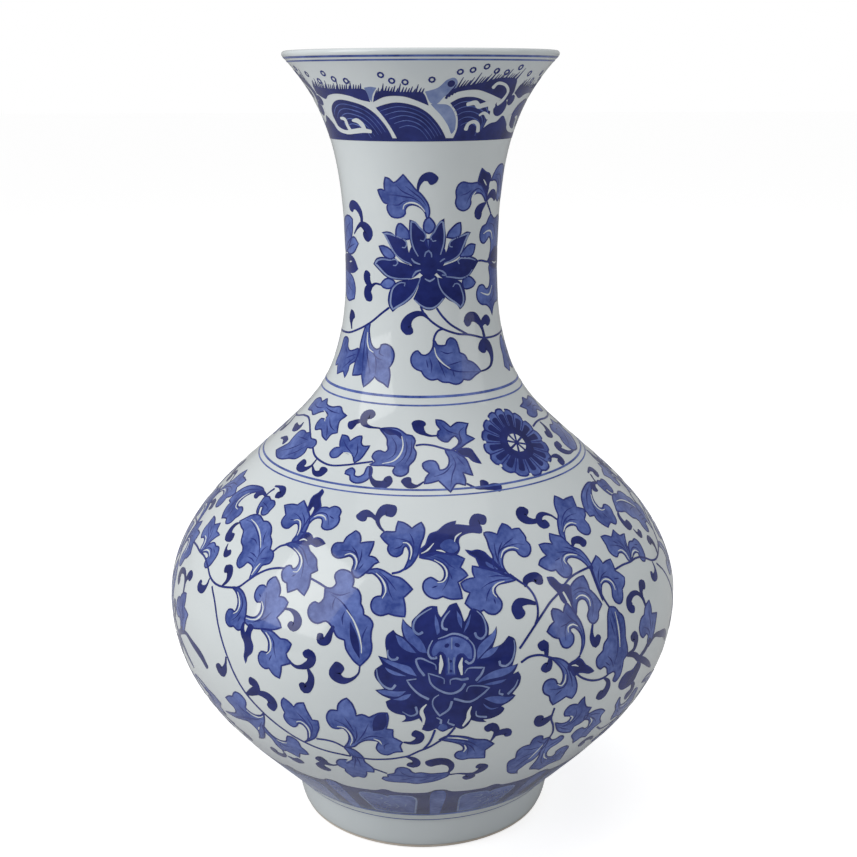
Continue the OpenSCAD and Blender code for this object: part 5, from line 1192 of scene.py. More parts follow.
neckLeaves = [
    {"edge": [(-30.6, 371.9, 1), (-28, 372.3), (-25.3, 371.8, 1), (-25.4, 374.7), (-24.2, 377.8, 1),
     (-21.5, 377.2), (-18.4, 375.4), (-16.5, 376, 1), (-14.2, 377.4), (-11.7, 379.2, 1), (-8.8, 376.7),
     (-5.9, 374.4), (-3.5, 372.3), (-1.1, 371.1), (2.1, 368.6), (4.9, 365.5), (5.8, 361.9), (5, 359.5, 1),
     (3.8, 359.6), (3, 361.5), (1.5, 363.1), (-1.5, 364.7), (-5.9, 365.6), (-9.5, 364.8), (-11.1, 363),
     (-11, 361.5), (-12.6, 360.3), (-16.5, 359.5), (-21, 360), (-23.5, 362), (-24.2, 364.4),
     (-23.5, 365.7, 1), (-26.4, 366.3), (-29, 369)],
     "lights": [[(-12.5, 363.5), (-11.6, 365.4), (-8, 366.5), (-3.5, 366.1), (0, 364.6), (2.6, 362.4)]],
     "veins": [[(-24, 369.8), (-18, 369.8), (-12, 369.2), (-6, 368.6), (-1, 366.8), (3, 363.5)],
     [(-17, 374.5), (-13, 371.8), (-7, 369.8), (-2, 368)], [(-20.5, 365.4), (-15.5, 365.4), (-12.5, 366.8),
     (-8, 367.7)], [(-10.5, 374), (-5, 371), (0, 368.3), (3.7, 364.8)]]},
    {"edge": [(24.2, 371.5), (25.8, 374.2), (29, 375.4), (33.3, 374.8), (37, 374.6), (41, 374.8),
     (45.5, 373.4), (49, 370.8), (52.2, 367.3), (51.5, 365.5), (49.5, 367.4), (46, 369.5), (41, 369.9),
     (38, 369), (36.5, 367.5), (36.8, 365.5), (35, 363.3), (30.5, 362.3), (26.2, 363.5), (24.2, 365.9),
     (24.8, 368.5, 1)], "lights": [[(37, 366.8), (38, 368.8), (40.5, 370.7)]],
     "veins": [[(33, 365.5), (35, 368.3), (38.5, 371), (43, 372), (48.5, 369.6)], [(28, 369.3), (33, 370.2),
     (36.5, 371.6)]]},
    {"edge": [(43.9, 381.2, 1), (42.5, 378), (42, 374.3), (45, 373.6), (48.5, 371.5), (51.5, 369.5),
     (53, 371), (53.5, 374), (55, 376.3), (52.6, 378.4), (48.4, 379.3)], "tone": "deep",
     "lights": [[(46.8, 376), (48.5, 374.8), (50.6, 373.2)]]},
    {"edge": [(-39, 310.3, 1), (-39.5, 307), (-37.8, 302.4), (-35, 299.3), (-31.5, 298.2), (-29.3, 298.9),
     (-28.4, 300.5), (-25.3, 301.1), (-21, 300), (-18.5, 297), (-18.9, 293.3), (-21, 290.4, 1),
     (-19.9, 287), (-20.1, 281, 1), (-23.4, 282.8), (-27.5, 284), (-30, 285.5, 1), (-32.5, 282.8),
     (-36.2, 280, 1), (-38.5, 283), (-40.2, 285.8, 1), (-43, 285), (-47.6, 284.4, 1), (-48.2, 288),
     (-48, 291.5), (-46.5, 296), (-46.1, 301), (-44.4, 306.3), (-42.5, 309)],
     "lights": [[(-40.7, 305.5), (-40, 301), (-37.4, 297.8), (-34, 296.8)]],
     "veins": [[(-42.5, 308), (-42.5, 300), (-41.5, 292), (-39.8, 286)], [(-41, 303), (-39, 296),
     (-36, 290.5), (-33.7, 286.5)], [(-36, 297.5), (-31, 294.5), (-26, 293.5)], [(-33, 297), (-30.7, 292),
     (-29.8, 287)], [(-28.5, 299.3), (-29.3, 296.6), (-25.5, 295.5)]]},
    {"edge": [(-47.5, 297.2), (-52, 296.1), (-57, 295.3), (-60.5, 297), (-61.9, 300.3), (-66, 300.9),
     (-70, 299.5), (-70.6, 296), (-71.5, 293, 1), (-73.5, 287.5), (-72, 286), (-69, 287, 1), (-66.5, 284.8),
     (-64.5, 282.7, 1), (-61, 284), (-58, 285, 1), (-54.2, 282.4, 1), (-53, 286), (-53.3, 288.5),
     (-51, 290), (-48.5, 291.2)],
     "veins": [[(-48.5, 294.6), (-54, 293), (-60, 291)], [(-49, 293), (-56, 289), (-60, 286.5)],
     [(-62.5, 296), (-59, 293.5)]]},
    {"edge": [(8, 303.5, 1), (7.5, 300.5), (5.5, 298), (2.5, 296.6), (-0.5, 297), (-2.6, 298.7),
     (-5.3, 297.8), (-7.1, 295), (-6, 291.8), (-3.2, 290), (-0.3, 289.3, 1), (1.5, 287), (5.4, 285.1),
     (9.5, 285.4, 1), (12.5, 283.9), (16.3, 283.6, 1), (20.5, 282.4), (24, 283), (26, 284.4, 1),
     (30, 283.8), (35, 285.7), (39.8, 287, 1), (38.2, 289.1), (35, 291.6), (31.1, 293, 1), (29.6, 295.5),
     (25.9, 297, 1), (25.3, 299.6), (23.6, 302.9), (20, 304.2), (17.4, 302.9), (16.2, 301), (13.5, 300.8),
     (10.5, 301.2), (9, 303)], "lights": [[(8.5, 300), (9.5, 296.5), (13, 293), (18, 290)]],
     "veins": [[(8.2, 300.5), (10.5, 294.5), (15, 290.9), (22, 288.5), (30, 287.6), (38, 287)], [(5, 295.5),
     (6.3, 292), (5.8, 288.5)], [(3, 294.5), (4, 290.5)], [(9, 296.5), (12.3, 291), (14.5, 286)],
     [(12, 298.5), (17, 297), (21, 297.5)], [(16.5, 291.5), (22, 292.3), (26.5, 293)], [(19.5, 289.5),
     (20.3, 286)]]},
    {"edge": [(55.5, 375, 1), (58.5, 378.5), (63, 381.5), (69, 382.3), (75, 381), (81, 377), (84, 371.5),
     (83.5, 366, 1), (79, 364.6), (75, 366.5, 1), (71, 365), (67, 366.5), (67.5, 370.5), (65, 374),
     (60, 375.3)],
     "veins": [[(78, 368), (75, 373), (69, 377.3), (61, 377.6)], [(71.5, 368.5), (69.5, 373), (65, 376)]]},
    {"edge": [(65.5, 286, 1), (68.5, 284.2), (71, 283), (75, 285.5, 1), (78.5, 283.4), (82.5, 283, 1),
     (83.5, 286.5), (87.5, 289), (90.5, 293.5), (91, 298.5), (88.5, 301, 1), (86, 297.3), (81.5, 296),
     (78.5, 298), (75.5, 300.5), (71.5, 299.8), (68.8, 296.5), (68.5, 291.5, 1)],
     "veins": [[(89, 298), (84.5, 292.5), (78.5, 290.8), (73, 293)], [(85, 291.5), (80, 287.5),
     (76.5, 287)]]},
    # the side flower
    {"edge": [(60, 359.5, 1), (56.5, 357.3), (54, 355), (49.8, 354.2), (47.2, 350.6), (48.8, 347.2),
     (52.5, 346.3), (56.5, 347.8), (59.3, 349), (61.8, 347), (62.3, 343), (60.5, 339), (67, 338), (78, 340),
     (84, 346), (85.5, 353), (82, 357), (75, 358), (67, 357)],
     "lights": [[(51.5, 350.8), (56, 351.8), (61.5, 351.3), (65, 347.5)]],
     "veins": [[(58, 355.5), (66, 353.8), (72, 347)], [(76, 355), (78.5, 349), (75.5, 343)]]},
    {"edge": [(62.7, 311.7, 1), (60, 315), (55, 317.2), (49, 318), (45, 320.5), (44.4, 324), (47.5, 326.8),
     (52, 326.8), (56, 324.6), (60, 325.5), (61.8, 329.5), (60, 335), (66, 336.5), (78, 334), (85, 328),
     (86, 321), (80, 317.5), (70, 317), (65.5, 315)],
     "lights": [[(49, 323.5), (54, 322.3), (60, 321.8), (65, 325.5)]],
     "veins": [[(59, 318), (66, 320), (72, 327)], [(77, 320.5), (79, 326), (75, 332)]]},
    {"edge": [(58, 337.8, 1), (64, 334.5), (74, 333), (82, 334), (84, 338), (82, 342), (74, 343.5),
     (64, 341.5)], "tone": "deep", "lights": [[(66, 336.8), (71, 335.8), (75.5, 336.3)]]},
    {"edge": [(121, 357.3, 1), (116, 358.6), (108, 358), (99, 354), (94, 347), (97, 342), (104, 341),
     (113, 345), (119, 350.5)], "veins": [[(117, 355.5), (109, 352.5), (101, 346)]]},
    {"edge": [(127.2, 346.3, 1), (122, 349), (114, 347.3), (105, 342.5), (112, 340.5), (121, 342)],
     "veins": [[(123, 346), (114, 344), (108, 342)]]},
    {"edge": [(125.6, 334.4, 1), (120, 338.8), (110, 340), (98, 339), (92, 337), (100, 333.5), (112, 332),
     (120, 332.5)], "tone": "deep", "lights": [[(116.5, 337.3), (112.5, 336.8)]]},
    {"edge": [(121, 320, 1), (122, 325), (118.5, 329.5), (111, 331.5), (101, 332.5), (94, 333.5), (96, 326),
     (102, 320.5), (111, 318.3)],
     "veins": [[(117, 323.5), (108, 326), (99, 331)], [(109, 321), (102.5, 326)]]},
]
neckCommas = [
    ([(-2.3, 371.5), (-1.5, 374.5), (1.5, 377.6), (6, 378), (8.3, 376.5)], [0.9, 1.6, 2.4, 4, 4.6]),
    ([(52, 365), (48.4, 363.8), (45, 362), (44.3, 360.2), (46.2, 359.5)], [1, 2.6, 4, 4.6, 3.6]),
    ([(53, 366), (56, 368.3), (60, 369), (63.3, 367.8), (64.3, 366.3)], [1, 2.4, 3.6, 4, 2.6]),
    ([(-57.7, 350.7), (-52.8, 353.8), (-48.4, 355.4), (-43, 354), (-41.3, 351.5), (-43.5, 350)], [0.8, 1.2,
     2, 3.6, 5, 5]),
    ([(-48, 355.5), (-47.4, 358.4), (-49.2, 361.7), (-53.7, 364), (-58, 363.8), (-60, 362.3)], [1.6, 2, 2.8,
     3.4, 4, 4]),
    ([(-31, 328.4), (-35.5, 328.7), (-39.5, 327.5), (-43, 329.3), (-44, 331.8), (-43.2, 333)], [1, 0.9, 1.6,
     3, 4, 3.6]),
    ([(-40, 327.5), (-43, 325), (-42.3, 322.3), (-40.3, 322.3)], [2.4, 4, 4.6, 4]),
    ([(-59.3, 305.7), (-61, 308.5), (-61.5, 311), (-60.3, 312.5)], [1, 1.8, 4, 5]),
    ([(48.9, 302.7), (48, 306.1), (45.6, 309.6), (40.9, 312.5), (36.6, 312.8), (34.3, 311.2), (35.5, 310)],
     [2, 1.6, 2.2, 3.2, 4.2, 4.4, 3.4]),
    ([(47, 307.5), (50, 309.8), (54, 310.2), (55.8, 308.9)], [1.4, 3, 4.4, 4]),
    ([(4.9, 313.4), (0.9, 315.6), (-4, 315.6), (-9, 313.4), (-11, 310.2), (-9.5, 308), (-7.8, 308.3)], [0.8,
     2, 2.4, 3, 4, 5, 3.6]),
    ([(39.8, 287), (44.9, 287.4), (49.8, 288.9), (52.8, 292.3), (52.8, 296), (50, 298.8), (46.7, 299),
     (44.8, 297)], [0.8, 0.9, 1.2, 2, 3, 4.4, 5, 5]),
]
neckStems = [
    [(-0.5, 319), (1, 316.5), (5, 313.3), (9, 311), (14, 308.8), (20, 307), (27, 305.5), (33, 305),
     (40, 303.8), (47, 302.3), (55, 301.7), (65, 301.6), (80, 302), (105, 302.6)],
    [(11, 318), (14, 315), (20, 310.7), (24, 308.8), (33, 305.2)],
    [(-24, 318), (-30, 315), (-37.3, 311.1), (-44.8, 308), (-55, 305), (-62, 303.5), (-75, 302.6)],
    [(15, 308.5), (11.5, 307.8), (9, 305.5), (8, 303)],
    [(53.5, 372), (52.5, 369), (53, 366), (57.3, 362), (60, 359.6)],
    [(46.6, 338.5), (50, 338.4), (56, 337.5), (62, 337)],
]
lotusLine = [0.5, 0.9, 0.5]
neck = newBand()
fillShape(neck["deep"], lotusCore, rise["deep"], neckTurns)
for petal in lotusPetals:
    fillShape(neck["deep"], petal["edge"], rise["deep"], neckTurns)
    for part in ("pale", "fold"):
        if part in petal:
            stroke(neck["pale"], petal[part], lotusLine, rise["line"], neckTurns)
for edge in lotusSepals:
    paintLeaf(neck, {"edge": edge}, neckTurns)
for points in lotusHeart:
    stroke(neck["pale"], points, lotusLine, rise["white"], neckTurns)
for leaf in neckLeaves:
    paintLeaf(neck, leaf, neckTurns)
paintStrokes(neck, neckCommas, neckStems, neckTurns)
pieces(neck, "neck", looks)

print("Shoulder")
shoulderTurns = (0, 180)
shoulderLeaves = [
    {"edge": [(-76, 266), (-70, 268.5), (-66, 267.5), (-62, 269.8), (-59.5, 267.5), (-54, 267),
     (-47, 268.3), (-44, 266), (-40.3, 264.8, 1), (-43, 261.5), (-42, 258), (-40.7, 255.4, 1), (-43.5, 254),
     (-44.2, 250.3, 1), (-48, 252), (-51.5, 255), (-55, 253.8), (-57.3, 257), (-56.5, 260), (-54, 260.3),
     (-53, 262.5), (-57, 263.8), (-61, 262.5), (-65.5, 259.8), (-70, 261), (-76, 260.5)],
     "lights": [[(-58.5, 264), (-55, 262.7), (-52.7, 259.3)]],
     "veins": [[(-59, 266), (-52, 265), (-45.5, 265)], [(-51, 262), (-47, 258), (-42.5, 256)],
     [(-50.5, 259), (-47, 255), (-45, 251.5)], [(-73, 264.5), (-66, 264), (-60, 265.5)]]},
    {"edge": [(-70, 235.5, 1), (-67, 239.5), (-65.5, 242), (-66, 246), (-65, 250), (-62, 251), (-59, 250.5),
     (-57, 251.5), (-53.5, 249), (-50, 249), (-48.2, 247), (-49, 244.5), (-51.5, 244), (-51, 241),
     (-53, 237), (-57, 235.5), (-61, 233.5), (-65, 233.2)],
     "veins": [[(-66, 236.5), (-60, 241), (-55, 246.5)], [(-63, 247), (-58.5, 247.5), (-54, 247.5)],
     [(-60, 236), (-55.5, 240.5), (-52.5, 245)]]},
    {"edge": [(-37.5, 255, 1), (-34.5, 254.8), (-32, 252.5, 1), (-30, 255), (-27.5, 256), (-26.5, 252.5),
     (-25, 251), (-22.2, 251.5, 1), (-23, 248), (-24.2, 244), (-26, 241.8, 1), (-28, 245), (-31, 246.3),
     (-33, 246), (-34, 243.5), (-36.5, 242.5), (-38.5, 244.5), (-37.8, 247.5), (-35.5, 248.5, 1),
     (-36.8, 251.5)], "lights": [[(-32.5, 246), (-30, 246.2), (-28, 244.5), (-27, 242.5)]],
     "veins": [[(-27, 243), (-26.5, 247), (-28, 252)], [(-28, 246), (-32, 249), (-35.5, 252.5)]]},
    {"edge": [(-20, 260.8, 1), (-16, 261.5), (-12, 261.5), (-9, 260), (-7, 258.5), (-4.5, 258), (-3, 255.5),
     (-3.6, 252), (-2.4, 249.5), (-3, 245.5), (-5, 242), (-5, 239), (-7, 236.8), (-9.5, 237.3),
     (-10.6, 239.3), (-10, 241.5), (-12, 241.8), (-15, 241.8), (-18, 241.5), (-19.8, 241.8, 1),
     (-18, 243.5), (-19.8, 246), (-19, 248.8), (-17, 249.5), (-15, 248.8), (-14, 250.5), (-14.8, 253),
     (-15.5, 256)],
     "darks": [[(-19.5, 260.6, 1), (-14, 260.9), (-9.5, 259), (-9, 256), (-11.5, 258), (-15, 258)]],
     "lights": [[(-9, 257.5), (-8, 253), (-8.8, 248), (-11, 244.5), (-15, 242.8)]],
     "veins": [[(-7.5, 257), (-6.3, 252), (-7.3, 246), (-10, 242.5)], [(-13.5, 257), (-11, 253), (-11, 248),
     (-14, 244.5)], [(-4.5, 256), (-4.5, 249), (-6.5, 243)]]},
    {"edge": [(-28, 237), (-26, 239), (-24.5, 237.5), (-24.2, 235.5), (-22.5, 234.8), (-20.8, 236.5),
     (-20.3, 240.5), (-18.8, 240.5), (-18, 236.5), (-19.5, 233), (-22.5, 231.5), (-25, 232.8), (-25.8, 235),
     (-27.8, 235.5)]},
    {"edge": [(6.8, 266, 1), (10, 265.3), (13.5, 262, 1), (17, 264), (22.5, 263, 1), (20.5, 260),
     (20, 257.5, 1), (23.3, 255, 1), (19, 253), (15, 250.5), (11.5, 250, 1), (15, 252.5), (16, 255),
     (14.5, 257.3), (13, 256.5), (11, 254.5), (8.8, 255), (6.8, 257.5), (7.3, 260, 1), (8.5, 261),
     (7, 263.5)],
     "veins": [[(12, 250.5), (16.8, 254), (17, 259), (20, 261.5)], [(16.5, 258), (12, 260), (9, 263.5)]]},
    {"edge": [(14, 249.5, 1), (17, 250.5), (20, 249.8), (21, 247), (22.3, 241.8, 1), (19.5, 243.5),
     (18, 246), (15, 247)], "tone": "deep"},
    {"edge": [(9.5, 251, 1), (13, 249.5), (15, 247.5), (17, 244.5), (17.5, 240), (17.8, 236, 1),
     (14.5, 238, 1), (14.8, 234), (14.3, 231.3, 1), (11.5, 232.5), (9, 228.3, 1), (7, 232), (5.5, 234.5, 1),
     (3, 233.5), (0.7, 233, 1), (1.2, 236), (2.5, 238.5, 1), (0.5, 241), (0.2, 243.5), (2.5, 245),
     (5, 244.5), (6, 242), (6.3, 240), (8.5, 240.5), (10, 243), (10.3, 246.5), (9.5, 249)],
     "veins": [[(11.5, 248), (12.5, 243), (10.5, 237), (9.3, 231)], [(13.5, 246.5), (15.8, 241.5)],
     [(11.5, 243), (8, 238.5), (4, 236.5)]]},
    {"edge": [(60.5, 265.5, 1), (66, 266.5), (69, 268.5), (73, 266.5), (79, 267), (84, 265), (88, 262, 1),
     (84.5, 259.5), (85, 256, 1), (80, 257), (76, 259.5), (71, 257.5), (65, 258), (62.5, 260.5),
     (65, 262.5)],
     "veins": [[(66, 264), (72, 263.5), (79, 264)], [(70, 260.5), (76, 262), (83, 259)]]},
    {"edge": [(72, 234), (76, 232), (82, 233), (88, 236.5, 1), (87.5, 241), (90, 244.5, 1), (86, 246.5),
     (83, 250.5, 1), (79, 248.5), (75, 249.5), (71.5, 247), (73, 243), (71, 239)],
     "veins": [[(73.5, 236), (79, 240), (84, 246)], [(76, 246), (80, 245.5)], [(80, 235), (84.5, 240)]]},
]
shoulderCommas = [
    ([(-75, 251), (-71, 249.5), (-68.5, 251), (-68.5, 254)], [2, 4, 3.4, 1]),
    ([(-76, 241), (-72, 242.5), (-69, 241.3)], [1, 2.4, 3.6]),
    ([(-42.8, 240), (-43.5, 235.5), (-46, 233), (-48.5, 234.5), (-47.8, 236.5)], [0.8, 1.2, 2.4, 4, 4]),
    ([(-42.8, 236), (-40, 233), (-37.5, 233.5), (-37, 235.5)], [0.8, 1.6, 3.2, 4.4]),
    ([(-20, 261), (-26, 261.3), (-29, 263), (-29.5, 266), (-27, 267.5), (-26, 266.7)], [0.8, 1, 1.8, 3.4,
     4.6, 4]),
    ([(-29.8, 263.6), (-33, 262.8), (-35.5, 260.5)], [1.4, 2.4, 4.6]),
    ([(-19.3, 241), (-18.3, 236), (-16, 232.5), (-13, 232), (-11.5, 234), (-12, 235.3)], [1, 1.2, 1.8, 3.4,
     4, 3.4]),
    ([(0.5, 234), (-2, 231.8), (-4.5, 232.5), (-5.5, 234.8)], [0.8, 1.2, 3, 4.4]),
    ([(7.5, 258), (3.5, 258), (0.5, 259.5), (-1.5, 262), (-1.6, 264)], [0.8, 1, 1.6, 4, 6]),
    ([(15, 232), (18, 229.3), (21, 229), (24, 229), (25.5, 228.2)], [1, 1.2, 1.6, 3, 4]),
    ([(20, 229.2), (21, 231.8)], [2.4, 3.8]),
    ([(52.5, 236), (56, 236.5), (59, 235), (59, 232.7), (57.3, 232.2)], [0.8, 1, 2.4, 3.6, 3.4]),
    ([(68, 254), (68.5, 250), (66.5, 246.5), (64.5, 247.3)], [1, 2.4, 4, 3.6]),
    ([(73, 233), (68, 234), (64.5, 237), (64, 239.5), (67, 240)], [1, 1.8, 3, 4, 3.4]),
    ([(92, 252), (95, 248), (94.5, 244), (92.5, 243)], [0.9, 1.8, 3, 4]),
]
shoulderStems = [
    [(-75, 256.8), (-68, 257.5), (-62, 255), (-57, 251.5)],
    [(-48.8, 245), (-45, 241.5), (-40, 239.3), (-35, 238.5), (-29, 240), (-24, 241.8), (-19, 243.5)],
    [(-2.5, 253), (0, 253.5), (4, 253), (8, 251.5), (11, 250)],
    [(59.5, 254), (64, 255), (69, 255), (80, 253), (92, 252.5), (105, 256.8)],
]
roundel = {
    "at": (42.5, 249), "radius": 18.6, "petals": 16, "smooth": 24, "rim": 0.9,
    "scallop": ((-0.5, 0.93), (-0.25, 0.99), (0, 1.0), (0.25, 0.99)),  # share of a petal, share of the radius
    "disc": 0.5, "rays": (0.45, 0.8), "seams": (0.5, 0.95),  # shares of the radius
    "rayWidths": [2.2, 3.4], "seamWidths": [0.5, 0.7], "beadAt": 17.8, "bead": 1.5, "beadLong": 0.4,
    "heart": 5.0, "spokes": 8, "spokeWidths": [0.9, 1.2], "eye": 1.3,
}


def aroundSpot(centre, radius, angle):
    return centre[0] + radius * math.sin(angle) / mmPerDegree(centre[1]), centre[1] + radius * math.cos(angle)


def ringOf(centre, radius, count=12):
    return [aroundSpot(centre, radius, 2 * math.pi * i / count) for i in range(count)]


def paintRoundel(band, turns):
    v = roundel
    step = 2 * math.pi / v["petals"]

    def ray(reaches, place):
        return [aroundSpot(v["at"], reach * v["radius"], place * step) for reach in reaches]

    edge = []
    for i in range(v["petals"]):
        for share, reach in v["scallop"]:
            edge.append(aroundSpot(v["at"], v["radius"] * reach, (i + share) * step))
    fillShape(band["wash"], edge, rise["wash"], turns)
    stroke(band["line"], edge, [v["rim"]], rise["line"], turns, closed=True)
    fillShape(band["deep"], ringOf(v["at"], v["disc"] * v["radius"], v["smooth"]), rise["deep"], turns)
    for i in range(v["petals"]):
        stroke(band["deep"], ray(v["rays"], i), v["rayWidths"], rise["deep"], turns)
        stroke(band["line"], ray(v["seams"], i + 0.5), v["seamWidths"], rise["line"], turns)
    for i in range(0, v["petals"], 2):
        spot = aroundSpot(v["at"], v["beadAt"], (i + 0.5) * step)
        stroke(band["white"], [spot, (spot[0] + v["beadLong"], spot[1])], [v["bead"]], rise["white"], turns)
    fillShape(band["white"], ringOf(v["at"], v["heart"], v["smooth"]), rise["white"], turns)
    for i in range(v["spokes"]):
        far = aroundSpot(v["at"], v["heart"], (i + 0.5) * 2 * math.pi / v["spokes"])
        stroke(band["line"], [v["at"], far], v["spokeWidths"], rise["over"], turns)
    fillShape(band["line"], ringOf(v["at"], v["eye"]), rise["over"], turns)


shoulder = newBand()
for leaf in shoulderLeaves:
    paintLeaf(shoulder, leaf, shoulderTurns)
paintStrokes(shoulder, shoulderCommas, shoulderStems, shoulderTurns)
paintRoundel(shoulder, shoulderTurns)
pieces(shoulder, "shoulder", looks)

print("Mouth")
mouthTurns = (0, 120, 240)
waves = {
    "from": 395, "lines": (0.9, 0.79, 0.68, 0.56, 0.44),  # the lines in a dome follow its crest, drawn in
    "lineWidths": [0.2, 0.5, 0.2], "spikeWidths": [1.2, 0.3], "sunk": 1,
    "bubble": 1.25, "bubblePoints": 8, "bubbleLine": 0.85, "blobPoints": 16, "edgeAt": 341, "edge": 1.4,
}
domes = [
    ([(-57.5, 407.5), (-55, 410.3), (-50, 412.8), (-45, 413.5), (-38, 412.6), (-31, 410.6), (-26, 407.6),
     (-22, 403.6), (-18.6, 399), (-16.6, 395, 1), (-30, 395), (-58, 395, 1), (-59, 401)], (-40, 393)),
    ([(-24, 409.8, 1), (-18, 411.5), (-12, 412.3), (-4, 411), (3, 407.8), (9.5, 402.2), (13.5, 397.4),
     (15, 395, 1), (-13.8, 395, 1), (-16.8, 400), (-20.2, 405)], (-3, 393)),
    ([(15, 412, 1), (20, 414.4), (27, 414.8), (33, 413.3), (38, 411), (40.5, 407), (39, 401), (36, 395, 1),
     (19, 395, 1), (21, 400), (19.5, 407)], (29, 393)),
]
sprays = [
    [(-66, 416.5, 1), (-64, 421), (-60, 420), (-50, 419), (-40, 418.8), (-32, 419), (-27.5, 418.5),
     (-26.3, 412.5, 1), (-32, 413.6), (-38, 415.5), (-46, 416.5), (-54, 415.5), (-58, 413.8)],
    [(-24.8, 412.4, 1), (-22.5, 416.5), (-19, 418), (-12, 417.5), (-4, 417.3), (1, 417), (3, 413.5),
     (4, 410.8, 1), (-1, 412.8), (-7, 414.9), (-12, 415.5), (-18, 415)],
    [(12, 415.3, 1), (16, 419), (22, 420.5), (30, 422), (36, 424), (44, 424.5), (50, 423.5), (52, 420),
     (53, 416.5), (50, 413), (46, 413.5), (42, 414.5, 1), (36, 416.3), (28, 418.3), (20, 417.8)],
]
spikes = {
    "from": [(-64, 420.5), (-50, 418.5), (-28, 418.4), (-24, 415.5), (-18, 417.5), (1, 416.5), (12, 415),
     (18, 419), (32, 422), (51, 423)],
    "lean": 1.7,
    "gap": 1.35,
    "heights": (2.4, 3.2, 2.2, 4.4, 2.8, 2.6),
    "runs": [(-64, -28, 1.0), (-23, 2, 1.0), (12.5, 51, 1.5)],
}
palePatches = [
    [(5, 411.5, 1), (9, 411.5), (14, 411), (17.5, 408), (19.5, 404), (19.8, 399.5, 1), (18, 397.5),
     (15.5, 401), (11, 406), (7, 409.5)],
    [(-27.5, 419.5, 1), (-24, 420), (-21, 419.5, 1), (-24, 416), (-25.5, 412.5, 1), (-26.8, 415)],
    [(2, 417.5, 1), (8, 419.5), (12, 423.5), (15, 424.5), (17, 422), (16, 418), (11.5, 415, 1), (8, 411.5),
     (5, 412)],
]
rightSea = [
    (33, 395, 1), (38, 399.5), (43, 402), (48, 402.8), (52, 405.5), (57, 403), (61, 400), (63.5, 398),
    (63, 395, 1)
]
foam = [
    ([(-60, 405), (-57.5, 400), (-50, 398), (-42, 398.5), (-36, 399), (-30, 398.6)], [3, 2.4, 1.8, 2.2, 2.4,
     1.6]),
    ([(-51, 404.5), (-47.5, 404), (-46.8, 401), (-45.5, 399)], [1, 2, 2, 2]),
    ([(-41.5, 403.5), (-38, 403.5), (-35.5, 402), (-34, 399.5)], [1, 2.4, 2.6, 2]),
    ([(36.5, 419.5), (38, 421.5), (41, 421.5), (45, 420), (48, 417), (46.5, 413), (44, 411.5)], [2, 1.6,
     1.3, 1.3, 1.6, 2, 2.4]),
    ([(24.5, 411.3), (29, 412), (31.5, 410.3), (35, 411), (38.5, 411.5), (40.5, 409.5)], [1.8, 2.2, 2.4,
     2.4, 3, 4]),
    ([(33.5, 406), (36, 407), (40, 405)], [1, 1.6, 2.4]),
    ([(26.5, 399.5), (27.5, 402), (31, 403), (34, 401.5), (35, 398.5)], [2, 1.6, 1.6, 1.8, 2]),
]
blobs = [((47, 409.5), 4.2), ((54, 413), 2.6), ((14, 421.5), 1.7)]
bubbles = [
    (-54.5, 423), (-48, 427), (-43, 424), (-36, 423), (-17.5, 426), (-13, 423), (-7, 422.3), (5, 423.5),
    (17, 427.5), (22.5, 428.5), (28.5, 430.3), (34.5, 428), (40.5, 427.3), (47.5, 430), (57.5, 426.7)
]
mouth = newBand()
for edge, middle in domes:
    fillShape(mouth["deep"], edge, rise["deep"], mouthTurns)
    foot = next(i for i, p in enumerate(edge) if p[1] == waves["from"])
    crest = [p[:2] for p in edge[:foot]]
    for share in waves["lines"]:
        arc = [(middle[0] + share * (d - middle[0]), middle[1] + share * (s - middle[1])) for d, s in crest]
        stroke(mouth["wash"], arc, waves["lineWidths"], rise["line"], mouthTurns)
for edge in sprays + [rightSea]:
    fillShape(mouth["deep"], edge, rise["deep"], mouthTurns)
for first, last, tall in spikes["runs"]:
    for i in range(int((last - first) / spikes["gap"])):
        turn = first + i * spikes["gap"]
        low = float(np.interp(turn, *zip(*spikes["from"]))) - waves["sunk"]
        high = low + waves["sunk"] + tall * spikes["heights"][i % len(spikes["heights"])]
        tip = (turn + tall * spikes["lean"], high)
        stroke(mouth["deep"], [(turn, low), tip], waves["spikeWidths"], rise["deep"], mouthTurns)
for edge in palePatches:
    fillShape(mouth["pale"], edge, rise["pale"], mouthTurns)
for points, widths in foam:
    stroke(mouth["white"], points, widths, rise["white"], mouthTurns)
for centre, radius in blobs:
    fillShape(mouth["deep"], ringOf(centre, radius, waves["blobPoints"]), rise["deep"], mouthTurns)
for centre in bubbles:
    ring = ringOf(centre, waves["bubble"], waves["bubblePoints"])
    stroke(mouth["line"], ring, [waves["bubbleLine"]], rise["line"], mouthTurns, closed=True)
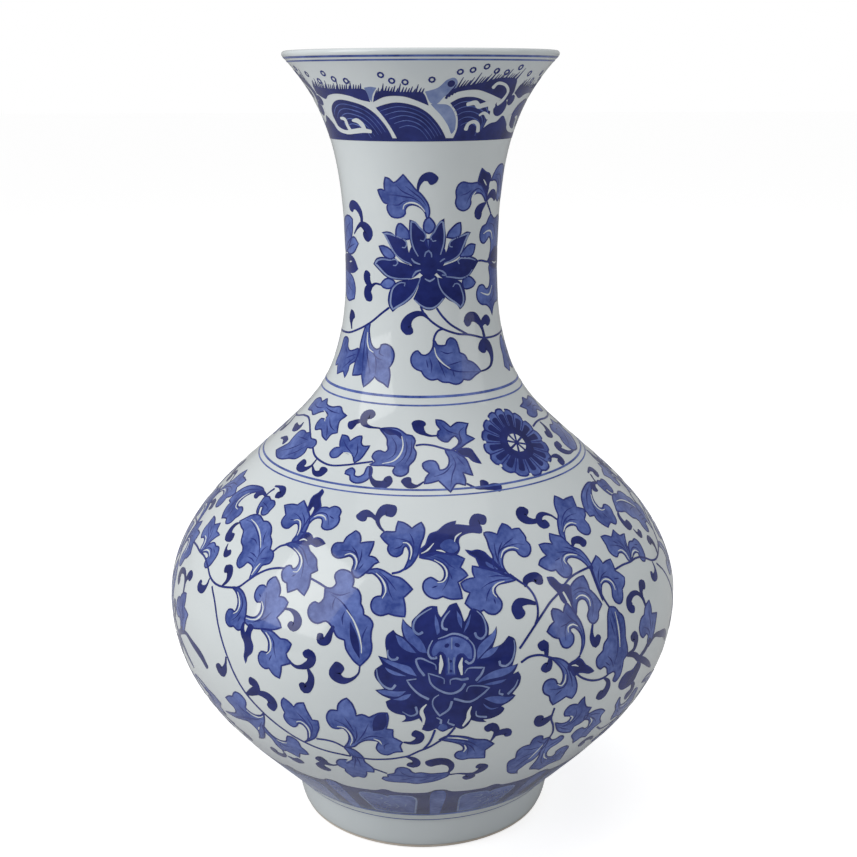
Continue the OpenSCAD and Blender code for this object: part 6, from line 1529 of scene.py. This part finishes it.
roundBand(mouth["deep"], waves["edgeAt"], waves["edge"])
pieces(mouth, "mouth", looks)

print("Foot")
footTurns = range(0, 360, 30)
foot = newBand()
ground = [
    (-25.5, 28, 1), (4.5, 28, 1), (4.5, 68, 1), (3, 67.6), (1.8, 65.5), (0.5, 64.2), (-8, 64.2),
    (-9.5, 66.2), (-10.5, 66.8), (-11.5, 66.2), (-13, 64.4), (-21.5, 64.2), (-23, 65.5), (-24.2, 67.6),
    (-25.5, 68, 1)
]
panel = [
    (-17.6, 31.5, 1), (-3, 31.5, 1), (-2.4, 56.5), (-3.8, 59), (-8, 59.2), (-9.7, 58.3), (-10.5, 55.5, 1),
    (-11.3, 58.3), (-13, 59.2), (-17.4, 59), (-18.9, 56.5)
]
strip = [(2.2, 30.5, 1), (6, 30.5, 1), (6.2, 62), (5.4, 66), (4.1, 67), (2.8, 66), (2, 62)]
scrolls = [
    [(-14.5, 55.5), (-12.5, 54.5), (-12.7, 52), (-14.8, 52.5)],
    [(-6.5, 54.8), (-8.5, 55), (-9, 52.5), (-6.8, 51.8)],
    [(-10.5, 50), (-12.5, 46), (-10.8, 43), (-12.8, 40)],
    [(-9, 46), (-8.2, 42), (-9.5, 38.5)],
    [(-5.5, 47), (-6, 42.5)],
]
scrollWidths, panelLine = [0.3, 0.8, 0.3], [0.9]
fillShape(foot["deep"], ground, rise["wash"], footTurns)
for edge in (panel, strip):
    fillShape(foot["wash"], edge, rise["deep"], footTurns)
stroke(foot["pale"], panel, panelLine, rise["line"], footTurns, closed=True)
for points in scrolls:
    stroke(foot["pale"], points, scrollWidths, rise["line"], footTurns)
pieces(foot, "foot", looks)

print("Rings")
ringsAt = {18.8: 0.9, 25.0: 2.4, 188.6: 0.7, 190.6: 1.0, 221.9: 0.8, 225.5: 1.2, 374.9: 0.8, 376.5: 1.1}
rings = newLayer()
for height, wide in ringsAt.items():
    roundBand(rings, height, wide)
pieceFrom("paintedRings", rings, looks["wash"], ["painted_lines"])

print("Stage")
addStage()
addCamera()
